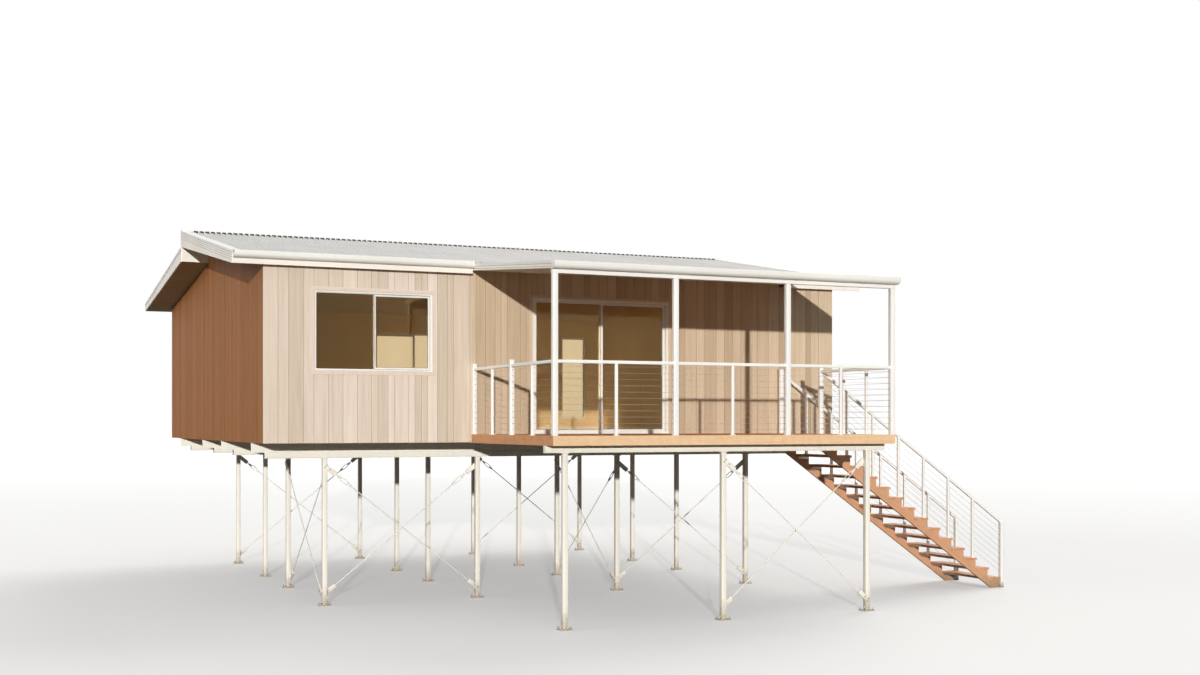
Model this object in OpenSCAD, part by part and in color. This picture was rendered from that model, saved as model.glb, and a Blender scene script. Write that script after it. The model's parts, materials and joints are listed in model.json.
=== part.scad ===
// Stilt house: a single-storey dwelling on steel stumps, with a verandah deck and a side stair.
// Dimensions are in millimetres. The model is drawn from the left front corner of the cladding,
// X along the front wall, Y towards the back, and is then set with its origin under its middle.

/* [House] */
// Length of the front wall
house_l = 9700; // [9400:50:11000]
// Depth from the front wall to the back wall
house_d = 9400; // [9000:50:10400]
// Height of the cladding's foot above the lowest ground
clear_h = 2500; // [1800:25:3000]
// Thickness of a wall with cladding, frame and lining
wall_t = 120; // [100:5:160]
// Thickness of the cladding, which laps down over the floor's edge
cladding_t = 20; // [12:1:30]
// Height of the floor and deck above the cladding's foot
floor_h = 125; // [110:5:160]
// Length of the pale cladding left of the verandah
pale_l = 3140; // [3000:20:3140]

/* [Stumps] */
// Width of a square steel stump
stump_w = 75; // [65:5:100]
// Distance from the front wall to the first row of stumps
first_row_y = 940; // [700:10:1200]
// Distance between the first and second rows
front_bay = 2610; // [2200:10:2900]
// Distance between the second and third rows
middle_bay = 1950; // [1600:10:2300]
// Distance between the third and fourth rows
back_bay = 2700; // [2300:10:2900]
// Distance from the left wall to the first column of stumps
first_column_x = 1120; // [900:10:1300]
// Distance between columns
column_gap = 2470; // [2300:10:2600]
// Width of a foot plate
foot_plate_w = 180; // [150:10:250]
// Thickness of a foot plate
plate_t = 12; // [8:1:20]
// Depth of the channel beams that carry the floor
beam_h = 150; // [120:5:200]
// Depth of the box bearers below the beams
bearer_h = 90; // [75:5:120]
// Distance that the bearers stop short of the walls
bearer_inset = 200; // [100:10:300]
// Diameter of a bracing rod
rod_d = 16; // [12:1:24]

/* [Roof] */
// Distance from the front wall to the ridge
ridge_y = 4820; // [4600:10:5000]
// Pitch of the front plane
front_pitch = 10; // [9:0.1:11]
// Pitch of the back plane
back_pitch = 6.8; // [6:0.1:8]
// Drop from the front plane to the back plane at the ridge
ridge_step = 285; // [280:5:320]
// Height of the front plane's lower edge above the cladding's foot
eave_z = 2751; // [2700:1:2800]
// Distance that the roof reaches past the gable walls
verge_over = 450; // [300:10:600]
// Distance that the front plane reaches past the front wall
front_over = 140; // [120:5:160]
// Distance that the back plane reaches past the back wall
back_over = 440; // [300:10:600]
// Depth of the roof's edge at the front eave
eave_depth = 182; // [170:2:200]
// Depth of the front plane at the ridge
ridge_depth = 276; // [260:2:300]
// Depth of the back plane at the ridge
back_ridge_depth = 247; // [230:1:260]
// Depth of the back plane at the back eave
back_eave_depth = 150; // [130:2:170]
// Distance between the ribs of the roofing
rib_pitch = 96; // [80:1:200]
// Height of a rib of the roofing
rib_h = 24; // [15:1:30]

/* [Verandah] */
// Distance from the front wall to the front of the deck
deck_d = 3280; // [2800:20:3400]
// Left edge of the deck
deck_x = 3165; // [3165:5:3400]
// Length of the deck
deck_l = 5475; // [4800:15:6000]
// Width of a square verandah post
post_w = 75; // [65:5:100]
// Underside of the verandah's front beam above the cladding's foot
verandah_beam_z = 2283; // [2200:1:2350]
// Pitch of the verandah roof
verandah_pitch = 5; // [4.6:0.1:5.2]
// Height of the verandah roof where it meets the wall
verandah_top_z = 2730; // [2720:1:2732]
// Height of the handrail above the deck
rail_h = 1015; // [900:5:1100]
// Number of wires in a balustrade bay
wire_n = 11; // [7:1:13]
// Diameter of a balustrade wire
wire_d = 4; // [3:0.5:6]

/* [Openings] */
// Left side of the front window
window_x = 746; // [600:2:900]
// Width of the front window
window_w = 1802; // [1500:2:1900]
// Height of the window sill above the cladding's foot
window_sill_z = 1060; // [900:5:1200]
// Height of a window
window_h = 1186; // [1000:2:1200]
// Left side of the sliding door
door_x = 4170; // [4000:10:4300]
// Width of the sliding door
door_w = 2380; // [2200:10:2500]
// Height of the sliding door
door_h = 2129; // [2040:1:2150]

/* [Stair] */
// Number of risers from deck to ground
riser_n = 15; // [13:1:16]
// Going of a tread
going = 252; // [235:1:260]
// Width of the flight over its stringers
stair_w = 1270; // [900:5:1300]
// Thickness of a tread
tread_t = 40; // [32:1:50]
// Thickness of a stringer
stringer_t = 45; // [35:1:60]

/* [Hidden] */
$fn = 32;

CREAM = [0.93, 0.91, 0.85];
PALE_TIMBER = [0.88, 0.79, 0.70];
TAN_TIMBER = [0.78, 0.68, 0.56];
BROWN_TIMBER = [0.62, 0.42, 0.28];
DECK_TIMBER = [0.86, 0.62, 0.44];
STAIR_TIMBER = [0.56, 0.33, 0.24];
ROOF_GREY = [0.84, 0.84, 0.84];
SOFFIT_BROWN = [0.40, 0.32, 0.26];
CEILING_GREY = [0.80, 0.79, 0.76];
GLASS = [0.60, 0.70, 0.72, 0.35];
GALVANISED = [0.76, 0.77, 0.77];

// The outer limits of the whole model, from which its middle is found
gutter_w = 100;
gutter_h = 103;
fascia_t = 20;
newel_w = 65;
capping_t = 3;
x_low = -verge_over - fascia_t - capping_t;
stair_x = deck_x + deck_l;
newel_gap = 30;
x_high = stair_x + (riser_n - 1) * going + newel_gap + newel_w;
y_low = -deck_d - gutter_w;
y_high = house_d + back_over + gutter_w;
middle_x = (x_low + x_high) / 2;
middle_y = (y_low + y_high) / 2;

// Levels and places worked out from the driving dimensions
stump_rows = [
  first_row_y,
  first_row_y + front_bay,
  first_row_y + front_bay + middle_bay,
  first_row_y + front_bay + middle_bay + back_bay
];
stump_columns = [for (i = [0:3]) first_column_x + i * column_gap];
deck_stump_inset = 295;
deck_column_gap = deck_l / 2 - deck_stump_inset;
deck_stump_columns = [for (i = [0:2]) deck_x + deck_stump_inset + i * deck_column_gap];
deck_row_y = -deck_d + 310;
stump_top = -beam_h - bearer_h;
bearer_w = 75;
beam_w = 50;
channel_t = 6;
sheet_t = 3;
lining_t = 12;
boards_t = 25;
fascia_foot = -10;
deck_bearer_h = 100;
deck_bearer_top = fascia_foot;
deck_stump_top = deck_bearer_top - deck_bearer_h;
big = 20000;

module in_frame() {
  translate([-middle_x, -middle_y, clear_h]) children();
}

// Extrudes an outline drawn in Y and Z along X, from x0 for a length
module along_x(x0, length) {
  translate([x0, 0, 0]) rotate([90, 0, 90]) linear_extrude(height = length) children();
}

// Extrudes an outline drawn in X and Z along Y, from y0 for a length
module along_y(y0, length) {
  translate([0, y0 + length, 0]) rotate([90, 0, 0]) linear_extrude(height = length) children();
}

function front_top(y) = eave_z + (y + front_over) * tan(front_pitch);
ridge_z = front_top(ridge_y);
function back_top(y) = ridge_z - ridge_step - (y - ridge_y) * tan(back_pitch);
back_edge_y = house_d + back_over;
front_edge_y = -front_over;
front_soffit_slope =
  (ridge_z - ridge_depth - (eave_z - eave_depth)) / (ridge_y - front_edge_y);
function front_soffit(y) = eave_z - eave_depth + (y - front_edge_y) * front_soffit_slope;
back_soffit_slope =
  (back_top(back_edge_y) - back_eave_depth - (back_top(ridge_y) - back_ridge_depth))
  / (back_edge_y - ridge_y);
function back_soffit(y) =
  back_top(ridge_y) - back_ridge_depth + (y - ridge_y) * back_soffit_slope;
function verandah_top(y) = verandah_top_z + y * tan(verandah_pitch);
roofing_h = rib_h + sheet_t;
// A hair's breadth between sloping pieces that lie on each other
seat_gap = 0.2;
side_gap = 1;
// Drop from the crowns of the ribs to the underside of the pans, on a slope
function roofing_drop(pitch) = roofing_h / cos(pitch) + seat_gap;
verandah_soffit_drop = 98;
function verandah_soffit(y) = verandah_top(y) - verandah_soffit_drop;
deck_end_x = deck_x + deck_l;

// Steel stumps, each on a foot plate and under a cap plate

module stump(x, y, top) {
  translate([x, y, -clear_h]) {
    translate([-foot_plate_w / 2, -foot_plate_w / 2, 0])
      cube([foot_plate_w, foot_plate_w, plate_t]);
    translate([-stump_w / 2, -stump_w / 2, 0])
      cube([stump_w, stump_w, clear_h + top]);
  }
}

module house_stumps() {
  color(CREAM) in_frame()
    for (y = stump_rows, x = stump_columns) stump(x, y, stump_top);
}

module deck_stumps() {
  color(CREAM) in_frame()
    for (x = deck_stump_columns) stump(x, deck_row_y, deck_stump_top);
}

// Box bearers on the stumps, and channel beams on the bearers

module floor_bearers() {
  color(CREAM) in_frame()
    for (y = stump_rows)
      translate([bearer_inset, y - bearer_w / 2, stump_top])
        cube([house_l - 2 * bearer_inset, bearer_w, bearer_h]);
}

module channel_outline(width, height) {
  difference() {
    square([width, height]);
    translate([channel_t, channel_t])
      square([width, height - 2 * channel_t]);
  }
}

module floor_beams() {
  color(CREAM) in_frame()
    for (y = stump_rows)
      along_x(0, house_l)
        translate([y - beam_w / 2, -beam_h]) channel_outline(beam_w, beam_h);
}

// Bracing: a pair of crossed rods, each with a turnbuckle near its upper end.
// Their end plates lie on opposite faces of the stumps, so that the rods pass each other.

bracket_l = 230;
bracket_w = 80;
bracket_t = 8;
bracket_past = 10;
rod_cover = 70;
turnbuckle_l = 230;
turnbuckle_w = 60;
turnbuckle_bar_d = 12;
turnbuckle_nut_l = 25;
turnbuckle_from_end = 330;
brace_top_gap = 120;
brace_foot_gap = 160;

// A rod along X from the origin, with an end plate at both ends
module tension_rod(length) {
  rod_start = bracket_l - bracket_past - rod_cover;
  body_x = length - turnbuckle_from_end - turnbuckle_l;
  body_end = body_x + turnbuckle_l;
  body_r = (turnbuckle_w - turnbuckle_bar_d) / 2;
  translate([rod_start, 0, 0])
    rotate([0, 90, 0]) cylinder(d = rod_d, h = body_x + 2 * turnbuckle_nut_l - rod_start);
  translate([body_end - 2 * turnbuckle_nut_l, 0, 0])
    rotate([0, 90, 0])
      cylinder(d = rod_d, h = length - rod_start - body_end + 2 * turnbuckle_nut_l);
  for (x = [body_x, body_end - turnbuckle_nut_l])
    translate([x, 0, 0]) {
      rotate([0, 90, 0]) cylinder(d = rod_d + 14, h = turnbuckle_nut_l);
      translate([0, -turnbuckle_bar_d / 2, -body_r])
        cube([turnbuckle_nut_l, turnbuckle_bar_d, 2 * body_r]);
    }
  for (z = [-body_r, body_r])
    translate([body_x, 0, z])
      rotate([0, 90, 0]) cylinder(d = turnbuckle_bar_d, h = turnbuckle_l);
  for (x = [-bracket_past, length - bracket_l + bracket_past])
    translate([x, -bracket_t / 2, -bracket_w / 2])
      cube([bracket_l, bracket_t, bracket_w]);
}

// A crossed pair between two stumps' centres, in the plane of X and Z
module brace_panel(span, low, high) {
  slope = atan2(high - low, span);
  length = sqrt(span * span + (high - low) * (high - low));
  face = (stump_w + bracket_t) / 2;
  translate([0, face, low]) rotate([0, -slope, 0]) tension_rod(length);
  translate([span, -face, low]) rotate([0, slope - 180, 0]) tension_rod(length);
}

brace_low = -clear_h + brace_foot_gap;
brace_high = stump_top - brace_top_gap;

module house_braces() {
  color(CREAM) in_frame() {
    for (y = [stump_rows[0], stump_rows[3]], i = [0, 2])
      translate([stump_columns[i], y, 0]) brace_panel(column_gap, brace_low, brace_high);
    for (x = [stump_columns[0], stump_columns[2]])
      translate([x, stump_rows[0], 0]) rotate([0, 0, 90])
        brace_panel(front_bay, brace_low, brace_high);
  }
}

module deck_braces() {
  color(CREAM) in_frame()
    translate([deck_stump_columns[1], deck_row_y, 0])
      brace_panel(deck_column_gap, brace_low, deck_stump_top - brace_top_gap);
}

// Floor: joists between rim joists, under one sheet

floor_sheet_t = 22;
joist_t = 45;
floor_joist_n = 17;

module floor_joists() {
  joist_h = floor_h - floor_sheet_t;
  inner_l = house_l - 2 * cladding_t;
  inner_d = house_d - 2 * cladding_t;
  joist_gap = (inner_l - joist_t) / (floor_joist_n - 1);
  color(GALVANISED) in_frame()
    translate([cladding_t, cladding_t, 0]) union() {
      for (y = [0, inner_d - joist_t]) translate([0, y, 0]) cube([inner_l, joist_t, joist_h]);
      for (i = [0:floor_joist_n - 1])
        translate([i * joist_gap, 0, 0]) cube([joist_t, inner_d, joist_h]);
    }
}

module floor_sheet() {
  color(TAN_TIMBER) in_frame()
    translate([cladding_t, cladding_t, floor_h - floor_sheet_t])
      cube([house_l - 2 * cladding_t, house_d - 2 * cladding_t, floor_sheet_t]);
}

// Walls: the cladding laps down over the floor, and corners are mitred

// Outline of a long wall, from its outer face inwards
module long_wall_outline(outer_top, inner_top) {
  polygon([
    [0, 0], [cladding_t, 0], [cladding_t, floor_h], [wall_t, floor_h],
    [wall_t, inner_top - seat_gap], [0, outer_top - seat_gap]
  ]);
}

// Outline of a front wall behind the verandah, whose cladding goes up to the verandah's roofing
module verandah_wall_outline() {
  polygon([
    [0, 0], [cladding_t, 0], [cladding_t, floor_h], [wall_t, floor_h],
    [wall_t, front_soffit(wall_t) - seat_gap], [cladding_t, front_soffit(cladding_t) - seat_gap],
    [cladding_t, verandah_top(0) - roofing_h], [0, verandah_top(0) - roofing_h]
  ]);
}

// Triangle in plan, which cuts a wall's end to a mitre
module mitre_cut(x, y, turn_x, turn_y) {
  translate([x, y, -1])
    linear_extrude(height = big)
      polygon([
        [0, 0], [-turn_x * wall_t, 0], [-turn_x * wall_t, turn_y * 2 * wall_t],
        [turn_x * 2 * wall_t, turn_y * 2 * wall_t]
      ]);
}

module window_hole(x, y, width, sill, height) {
  translate([x, y - wall_t, sill]) cube([width, 3 * wall_t, height]);
}

module front_wall_left() {
  color(PALE_TIMBER) in_frame()
    difference() {
      along_x(0, pale_l)
        long_wall_outline(front_soffit(0), front_soffit(wall_t));
      mitre_cut(0, 0, 1, 1);
      window_hole(window_x, 0, window_w, window_sill_z, window_h);
    }
}

module front_wall_middle() {
  color(TAN_TIMBER) in_frame()
    along_x(pale_l, door_x - pale_l) verandah_wall_outline();
}

module door_head_wall() {
  color(TAN_TIMBER) in_frame()
    intersection() {
      along_x(door_x, door_w) verandah_wall_outline();
      translate([0, -wall_t, floor_h + door_h]) cube([big, 3 * wall_t, big]);
    }
}

module front_wall_right() {
  wall_x = door_x + door_w;
  color(TAN_TIMBER) in_frame()
    difference() {
      union() {
        along_x(wall_x, deck_end_x - wall_x) verandah_wall_outline();
        along_x(deck_end_x, house_l - deck_end_x)
          long_wall_outline(front_soffit(0), front_soffit(wall_t));
      }
      mitre_cut(house_l, 0, -1, 1);
    }
}

// Windows of the back wall: left side, width, sill and height of each
tall_window_w = 600;
tall_window_h = 1850;
tall_window_x = 8550;
middle_window_x = 4200;
window_head_z = window_sill_z + window_h;
tall_back_window =
  [tall_window_x, tall_window_w, window_head_z - tall_window_h, tall_window_h];
sliding_back_windows = [
  [window_x, window_w, window_sill_z, window_h],
  [middle_window_x, window_w, window_sill_z, window_h]
];

module back_wall() {
  outer_top = back_soffit(house_d);
  inner_top = back_soffit(house_d - wall_t);
  color(PALE_TIMBER) in_frame()
    difference() {
      along_x(0, house_l)
        translate([house_d, 0]) mirror([1, 0]) long_wall_outline(outer_top, inner_top);
      mitre_cut(0, house_d, 1, -1);
      mitre_cut(house_l, house_d, -1, -1);
      for (w = concat(sliding_back_windows, [tall_back_window]))
        window_hole(w[0], house_d - wall_t, w[1], w[2], w[3]);
    }
}

// Outline of a gable above a level, in Y and Z, stepped at the ridge
module gable_outline(foot) {
  polygon([
    [0, foot], [house_d, foot], [house_d, back_soffit(house_d) - seat_gap],
    [ridge_y, back_soffit(ridge_y) - seat_gap], [ridge_y, front_soffit(ridge_y) - seat_gap],
    [0, front_soffit(0) - seat_gap]
  ]);
}

module gable_wall() {
  difference() {
    union() {
      along_x(0, cladding_t) gable_outline(0);
      along_x(0, wall_t) gable_outline(floor_h);
    }
    mitre_cut_side(0, 1);
    mitre_cut_side(house_d, -1);
  }
}

// The other half of the mitre, cut off the gable wall at the left
module mitre_cut_side(y, turn) {
  translate([0, y, -1])
    linear_extrude(height = big)
      polygon([
        [0, 0], [0, -turn * wall_t], [2 * wall_t, -turn * wall_t],
        [2 * wall_t, turn * 2 * wall_t]
      ]);
}

module left_gable_wall() {
  color(BROWN_TIMBER) in_frame() gable_wall();
}

module right_gable_wall() {
  color(BROWN_TIMBER) in_frame()
    translate([house_l, 0, 0]) mirror([1, 0, 0]) gable_wall();
}

// Windows: an outer frame, a fixed pane and a sliding sash, set in the wall

frame_w = 45;
frame_d = 90;
sash_w = 40;
sash_d = 35;
glass_t = 8;
frame_set_back = 10;

module pane_frame(width, height, bar, depth) {
  difference() {
    cube([width, depth, height]);
    translate([bar, -1, bar]) cube([width - 2 * bar, depth + 2, height - 2 * bar]);
  }
}

// Frame and sliding sash of a window, its left lower outer corner at the origin
module window_frame(width, height) {
  half = (width - 2 * frame_w) / 2;
  pane_frame(width, height, frame_w, frame_d);
  translate([frame_w + half - sash_w / 2, 20, frame_w])
    cube([sash_w, sash_d, height - 2 * frame_w]);
  translate([frame_w + half, 20, frame_w])
    pane_frame(half, height - 2 * frame_w, sash_w, sash_d);
}

module sliding_glass(width, height) {
  half = (width - 2 * frame_w) / 2;
  translate([frame_w, 50, frame_w])
    cube([half - sash_w / 2, glass_t, height - 2 * frame_w]);
  translate([frame_w + half + sash_w, 30, frame_w + sash_w])
    cube([half - 2 * sash_w, glass_t, height - 2 * frame_w - 2 * sash_w]);
}

// A window of one pane
module single_frame(width, height) {
  pane_frame(width, height, frame_w, frame_d);
}

module single_glass(width, height) {
  translate([frame_w, 50, frame_w])
    cube([width - 2 * frame_w, glass_t, height - 2 * frame_w]);
}

// Sets a window, drawn facing the front, in the back wall facing the back
module in_back_wall(w) {
  translate([w[0] + w[1], house_d - frame_set_back, w[2]]) rotate([0, 0, 180]) children();
}

module window_frames() {
  color(CREAM) in_frame() {
    translate([window_x, frame_set_back, window_sill_z]) window_frame(window_w, window_h);
    for (w = sliding_back_windows) in_back_wall(w) window_frame(w[1], w[3]);
    in_back_wall(tall_back_window) single_frame(tall_window_w, tall_window_h);
  }
}

module window_glass() {
  color(GLASS) in_frame() {
    translate([window_x, frame_set_back, window_sill_z]) sliding_glass(window_w, window_h);
    for (w = sliding_back_windows) in_back_wall(w) sliding_glass(w[1], w[3]);
    in_back_wall(tall_back_window) single_glass(tall_window_w, tall_window_h);
  }
}

// Sliding door: an outer frame, a fixed panel at the left and a sliding one at the right

door_frame_w = 50;
door_frame_d = 110;
stile_w = 60;
stile_d = 38;
panel_overlap = 60;
door_sill_h = 30;
door_gap = 6;
panel_h = door_h - door_frame_w - door_sill_h;
panel_w = (door_w - 2 * door_frame_w + panel_overlap) / 2;
fixed_y = 14;
sliding_y = fixed_y + stile_d + door_gap;
panel_z = floor_h + door_sill_h;

module door_frame() {
  color(CREAM) in_frame()
    translate([door_x, 5, floor_h]) difference() {
      cube([door_w, door_frame_d, door_h]);
      translate([door_frame_w, -1, door_sill_h])
        cube([door_w - 2 * door_frame_w, door_frame_d + 2, panel_h]);
    }
}

module door_panel(width, height) {
  pane_frame(width, height, stile_w, stile_d);
}

module door_pane(width, height) {
  translate([stile_w, (stile_d - glass_t) / 2, stile_w])
    cube([width - 2 * stile_w, glass_t, height - 2 * stile_w]);
}

sliding_w = panel_w - door_gap;
sliding_h = panel_h - 2 * door_gap;
sliding_x = door_x + door_w - door_frame_w - panel_w;

module door_fixed_panel() {
  color(CREAM) in_frame()
    translate([door_x + door_frame_w, fixed_y, panel_z]) door_panel(panel_w, panel_h);
}

module door_fixed_glass() {
  color(GLASS) in_frame()
    translate([door_x + door_frame_w, fixed_y, panel_z]) door_pane(panel_w, panel_h);
}

module door_sliding_panel() {
  handle_h = 240;
  color(CREAM) in_frame()
    translate([sliding_x, sliding_y, panel_z + door_gap]) {
      door_panel(sliding_w, sliding_h);
      translate([sliding_w - stile_w + 18, stile_d, 900]) cube([22, 30, handle_h]);
    }
}

module door_sliding_glass() {
  color(GLASS) in_frame()
    translate([sliding_x, sliding_y, panel_z + door_gap]) door_pane(sliding_w, sliding_h);
}

// Main roof: lining, rafters and ribbed roofing on a long front plane and a lower back plane

roof_l = house_l + 2 * verge_over;

// Space in front of the wall that the verandah roof takes up
module verandah_clearance() {
  translate([pale_l, -big, 0]) cube([deck_end_x - pale_l, big + cladding_t, big]);
}

module roof_lining() {
  y0 = front_edge_y + fascia_t;
  y1 = back_edge_y - fascia_t;
  color(SOFFIT_BROWN) in_frame() {
    difference() {
      along_x(-verge_over, roof_l)
        polygon([
          [y0, front_soffit(y0)], [ridge_y - fascia_t, front_soffit(ridge_y - fascia_t)],
          [ridge_y - fascia_t, front_soffit(ridge_y - fascia_t) + lining_t],
          [y0, front_soffit(y0) + lining_t]
        ]);
      verandah_clearance();
    }
    along_x(-verge_over, roof_l)
      polygon([
        [ridge_y, back_soffit(ridge_y)], [y1, back_soffit(y1)],
        [y1, back_soffit(y1) + lining_t], [ridge_y, back_soffit(ridge_y) + lining_t]
      ]);
  }
}

rafter_n = 11;
rafter_t = 45;

// Outline of a rafter between a lining and the roofing, from y0 to y1
module front_rafter_outline(y0, y1) {
  polygon([
    [y0, front_soffit(y0) + lining_t], [y1, front_soffit(y1) + lining_t],
    [y1, front_top(y1) - roofing_drop(front_pitch) - seat_gap],
    [y0, front_top(y0) - roofing_drop(front_pitch) - seat_gap]
  ]);
}

module back_rafter_outline(y0, y1) {
  polygon([
    [y0, back_soffit(y0) + lining_t], [y1, back_soffit(y1) + lining_t],
    [y1, back_top(y1) - roofing_drop(back_pitch) - seat_gap],
    [y0, back_top(y0) - roofing_drop(back_pitch) - seat_gap]
  ]);
}

module verandah_rafter_outline(y0, y1) {
  polygon([
    [y0, verandah_soffit(y0) + lining_t], [y1, verandah_soffit(y1) + lining_t],
    [y1, verandah_top(y1) - roofing_drop(verandah_pitch) - seat_gap],
    [y0, verandah_top(y0) - roofing_drop(verandah_pitch) - seat_gap]
  ]);
}

module rafters() {
  main_gap = (roof_l - rafter_t) / (rafter_n - 1);
  verandah_gap = (verandah_l - rafter_t) / (verandah_rafter_n - 1);
  color(TAN_TIMBER) in_frame() {
    for (i = [0:rafter_n - 1]) {
      difference() {
        along_x(-verge_over + i * main_gap, rafter_t)
          front_rafter_outline(front_edge_y + fascia_t, ridge_y - fascia_t);
        verandah_clearance();
      }
      along_x(-verge_over + i * main_gap, rafter_t)
        back_rafter_outline(ridge_y, back_edge_y - fascia_t);
    }
    for (i = [0:verandah_rafter_n - 1])
      along_x(verandah_x + i * verandah_gap, rafter_t)
        verandah_rafter_outline(verandah_in_y, 0);
  }
}

// Ribbed sheet along X: pans and trapezoid ribs of one thickness, drawn in X and Z
rib_foot = 40;
rib_crown = 18;

function rib_points(x, lift) = [
  [x, lift],
  [x + (rib_pitch - rib_foot) / 2, lift],
  [x + (rib_pitch - rib_crown) / 2, lift + rib_h],
  [x + (rib_pitch + rib_crown) / 2, lift + rib_h],
  [x + (rib_pitch + rib_foot) / 2, lift]
];

module ribbed_outline(length) {
  rib_n = floor(length / rib_pitch);
  start = (length - rib_n * rib_pitch) / 2;
  upper = [for (i = [0:rib_n - 1]) each rib_points(start + i * rib_pitch, sheet_t)];
  lower = [for (i = [rib_n - 1:-1:0])
    let (p = rib_points(start + i * rib_pitch, 0)) each [p[4], p[3], p[2], p[1], p[0]]];
  polygon(concat(
    [[0, sheet_t]], upper, [[length, sheet_t], [length, 0]], lower, [[0, 0]]
  ));
}

// A ribbed sheet whose ribs run up the slope, from y0 to y1, its pans at height z0 at y0
module ribbed_sheet(x0, length, y0, y1, z0, pitch) {
  run = (y1 - y0) / cos(pitch);
  translate([x0 + side_gap, y0, z0]) rotate([90 + pitch, 0, 0]) translate([0, 0, -run])
    linear_extrude(height = run) ribbed_outline(length - 2 * side_gap);
}

// Distance that the roofing reaches past a fascia, into the gutter
roofing_past = 20;

module front_roof_sheet() {
  front_y = front_edge_y - roofing_past;
  color(ROOF_GREY) in_frame()
    ribbed_sheet(-verge_over, roof_l, front_y, ridge_y,
      front_top(front_y) - roofing_drop(front_pitch), front_pitch);
}

module back_roof_sheet() {
  color(ROOF_GREY) in_frame()
    ribbed_sheet(-verge_over, roof_l, ridge_y, back_edge_y + roofing_past,
      back_top(ridge_y) - roofing_drop(back_pitch), -back_pitch);
}

// Board that closes the step between the two planes, cut out where the gable walls pass
module ridge_board() {
  low = back_soffit(ridge_y);
  high = front_top(ridge_y - fascia_t) - roofing_drop(front_pitch) - seat_gap;
  wall_top = front_soffit(ridge_y);
  color(CREAM) in_frame()
    difference() {
      translate([-verge_over, ridge_y - fascia_t, low]) cube([roof_l, fascia_t, high - low]);
      for (x = [0, house_l - wall_t])
        translate([x, ridge_y - 2 * fascia_t, low - wall_t])
          cube([wall_t, 3 * fascia_t, wall_top - low + wall_t]);
    }
}

capping_w = 150;
capping_leg = 60;
verge_capping_leg = 30;
capping_gap = 2;
verandah_capping_end_y = -250;

// Folded capping on the ribs of the front plane, turned down over the ridge board
module ridge_fold() {
  y0 = ridge_y - capping_w;
  y1 = ridge_y;
  y2 = ridge_y + capping_t;
  along_x(-verge_over - fascia_t, roof_l + 2 * fascia_t)
    polygon([
      [y0, front_top(y0)], [y1, front_top(y1)],
      [y1, front_top(y1) - capping_leg], [y2, front_top(y1) - capping_leg],
      [y2, front_top(y2) + capping_t], [y0, front_top(y0) + capping_t]
    ]);
}

// A band in Y and Z between two points, from a depth below them to the capping's top
module verge_band(from, to, depth) {
  polygon([from - [0, depth], to - [0, depth], to + [0, capping_t], from + [0, capping_t]]);
}

// Folded capping of a verge at the left: a strip on the ribs and a leg outside the barge board
module verge_fold(from, to) {
  edge = -fascia_t - capping_t;
  union() {
    along_x(edge, capping_w) verge_band(from, to, 0);
    along_x(edge, capping_t) verge_band(from, to, verge_capping_leg);
  }
}

module verge_cappings() {
  front_y = front_edge_y - roofing_past;
  top_y = ridge_y - capping_w - capping_gap;
  back_y = back_edge_y + roofing_past;
  translate([-verge_over, 0, 0]) {
    verge_fold([front_y, front_top(front_y)], [top_y, front_top(top_y)]);
    verge_fold([ridge_y, back_top(ridge_y)], [back_y, back_top(back_y)]);
  }
}

module verandah_capping() {
  front_y = -deck_d - roofing_past;
  end_y = verandah_capping_end_y;
  verge_fold([front_y, verandah_top(front_y)], [end_y, verandah_top(end_y)]);
}

module ridge_capping() {
  color(ROOF_GREY) in_frame() {
    ridge_fold();
    verge_cappings();
    translate([house_l, 0, 0]) mirror([1, 0, 0]) verge_cappings();
    translate([verandah_x, 0, 0]) verandah_capping();
    translate([deck_end_x, 0, 0]) mirror([1, 0, 0]) verandah_capping();
  }
}

module verge_board() {
  y0 = front_edge_y;
  along_x(-fascia_t, fascia_t) {
    polygon([
      [y0, front_soffit(y0)], [ridge_y, front_soffit(ridge_y)],
      [ridge_y, front_top(ridge_y) - seat_gap], [y0, front_top(y0) - seat_gap]
    ]);
    polygon([
      [ridge_y, back_soffit(ridge_y)], [back_edge_y, back_soffit(back_edge_y)],
      [back_edge_y, back_top(back_edge_y) - seat_gap], [ridge_y, back_top(ridge_y) - seat_gap]
    ]);
  }
}

module verandah_barge() {
  along_x(-fascia_t, fascia_t)
    polygon([
      [-deck_d, verandah_soffit(-deck_d)], [0, verandah_soffit(0)],
      [0, verandah_top(0) - seat_gap], [-deck_d, verandah_top(-deck_d) - seat_gap]
    ]);
}

module barge_boards() {
  color(CREAM) in_frame() {
    translate([-verge_over, 0, 0]) verge_board();
    translate([house_l + verge_over, 0, 0]) mirror([1, 0, 0]) verge_board();
    translate([verandah_x, 0, 0]) verandah_barge();
    translate([deck_end_x, 0, 0]) mirror([1, 0, 0]) verandah_barge();
  }
}

front_fascia_h =
  front_top(front_edge_y) - roofing_drop(front_pitch) - seat_gap - front_soffit(front_edge_y);
back_fascia_h =
  back_top(back_edge_y) - roofing_drop(back_pitch) - seat_gap - back_soffit(back_edge_y);

module front_fascia(x0, x1) {
  translate([x0, front_edge_y, front_soffit(front_edge_y)])
    cube([x1 - x0, fascia_t, front_fascia_h]);
}

module eave_fascias() {
  color(CREAM) in_frame() {
    front_fascia(-verge_over, pale_l);
    front_fascia(deck_end_x + fascia_t, house_l + verge_over);
    translate([-verge_over, back_edge_y - fascia_t, back_soffit(back_edge_y)])
      cube([roof_l, fascia_t, back_fascia_h]);
  }
}

// Gutter: an open trough with a rounded front, higher at the front than at the back

gutter_metal_t = 3;
gutter_round_r = 55;
gutter_back_drop = roofing_h + 6;

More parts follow.
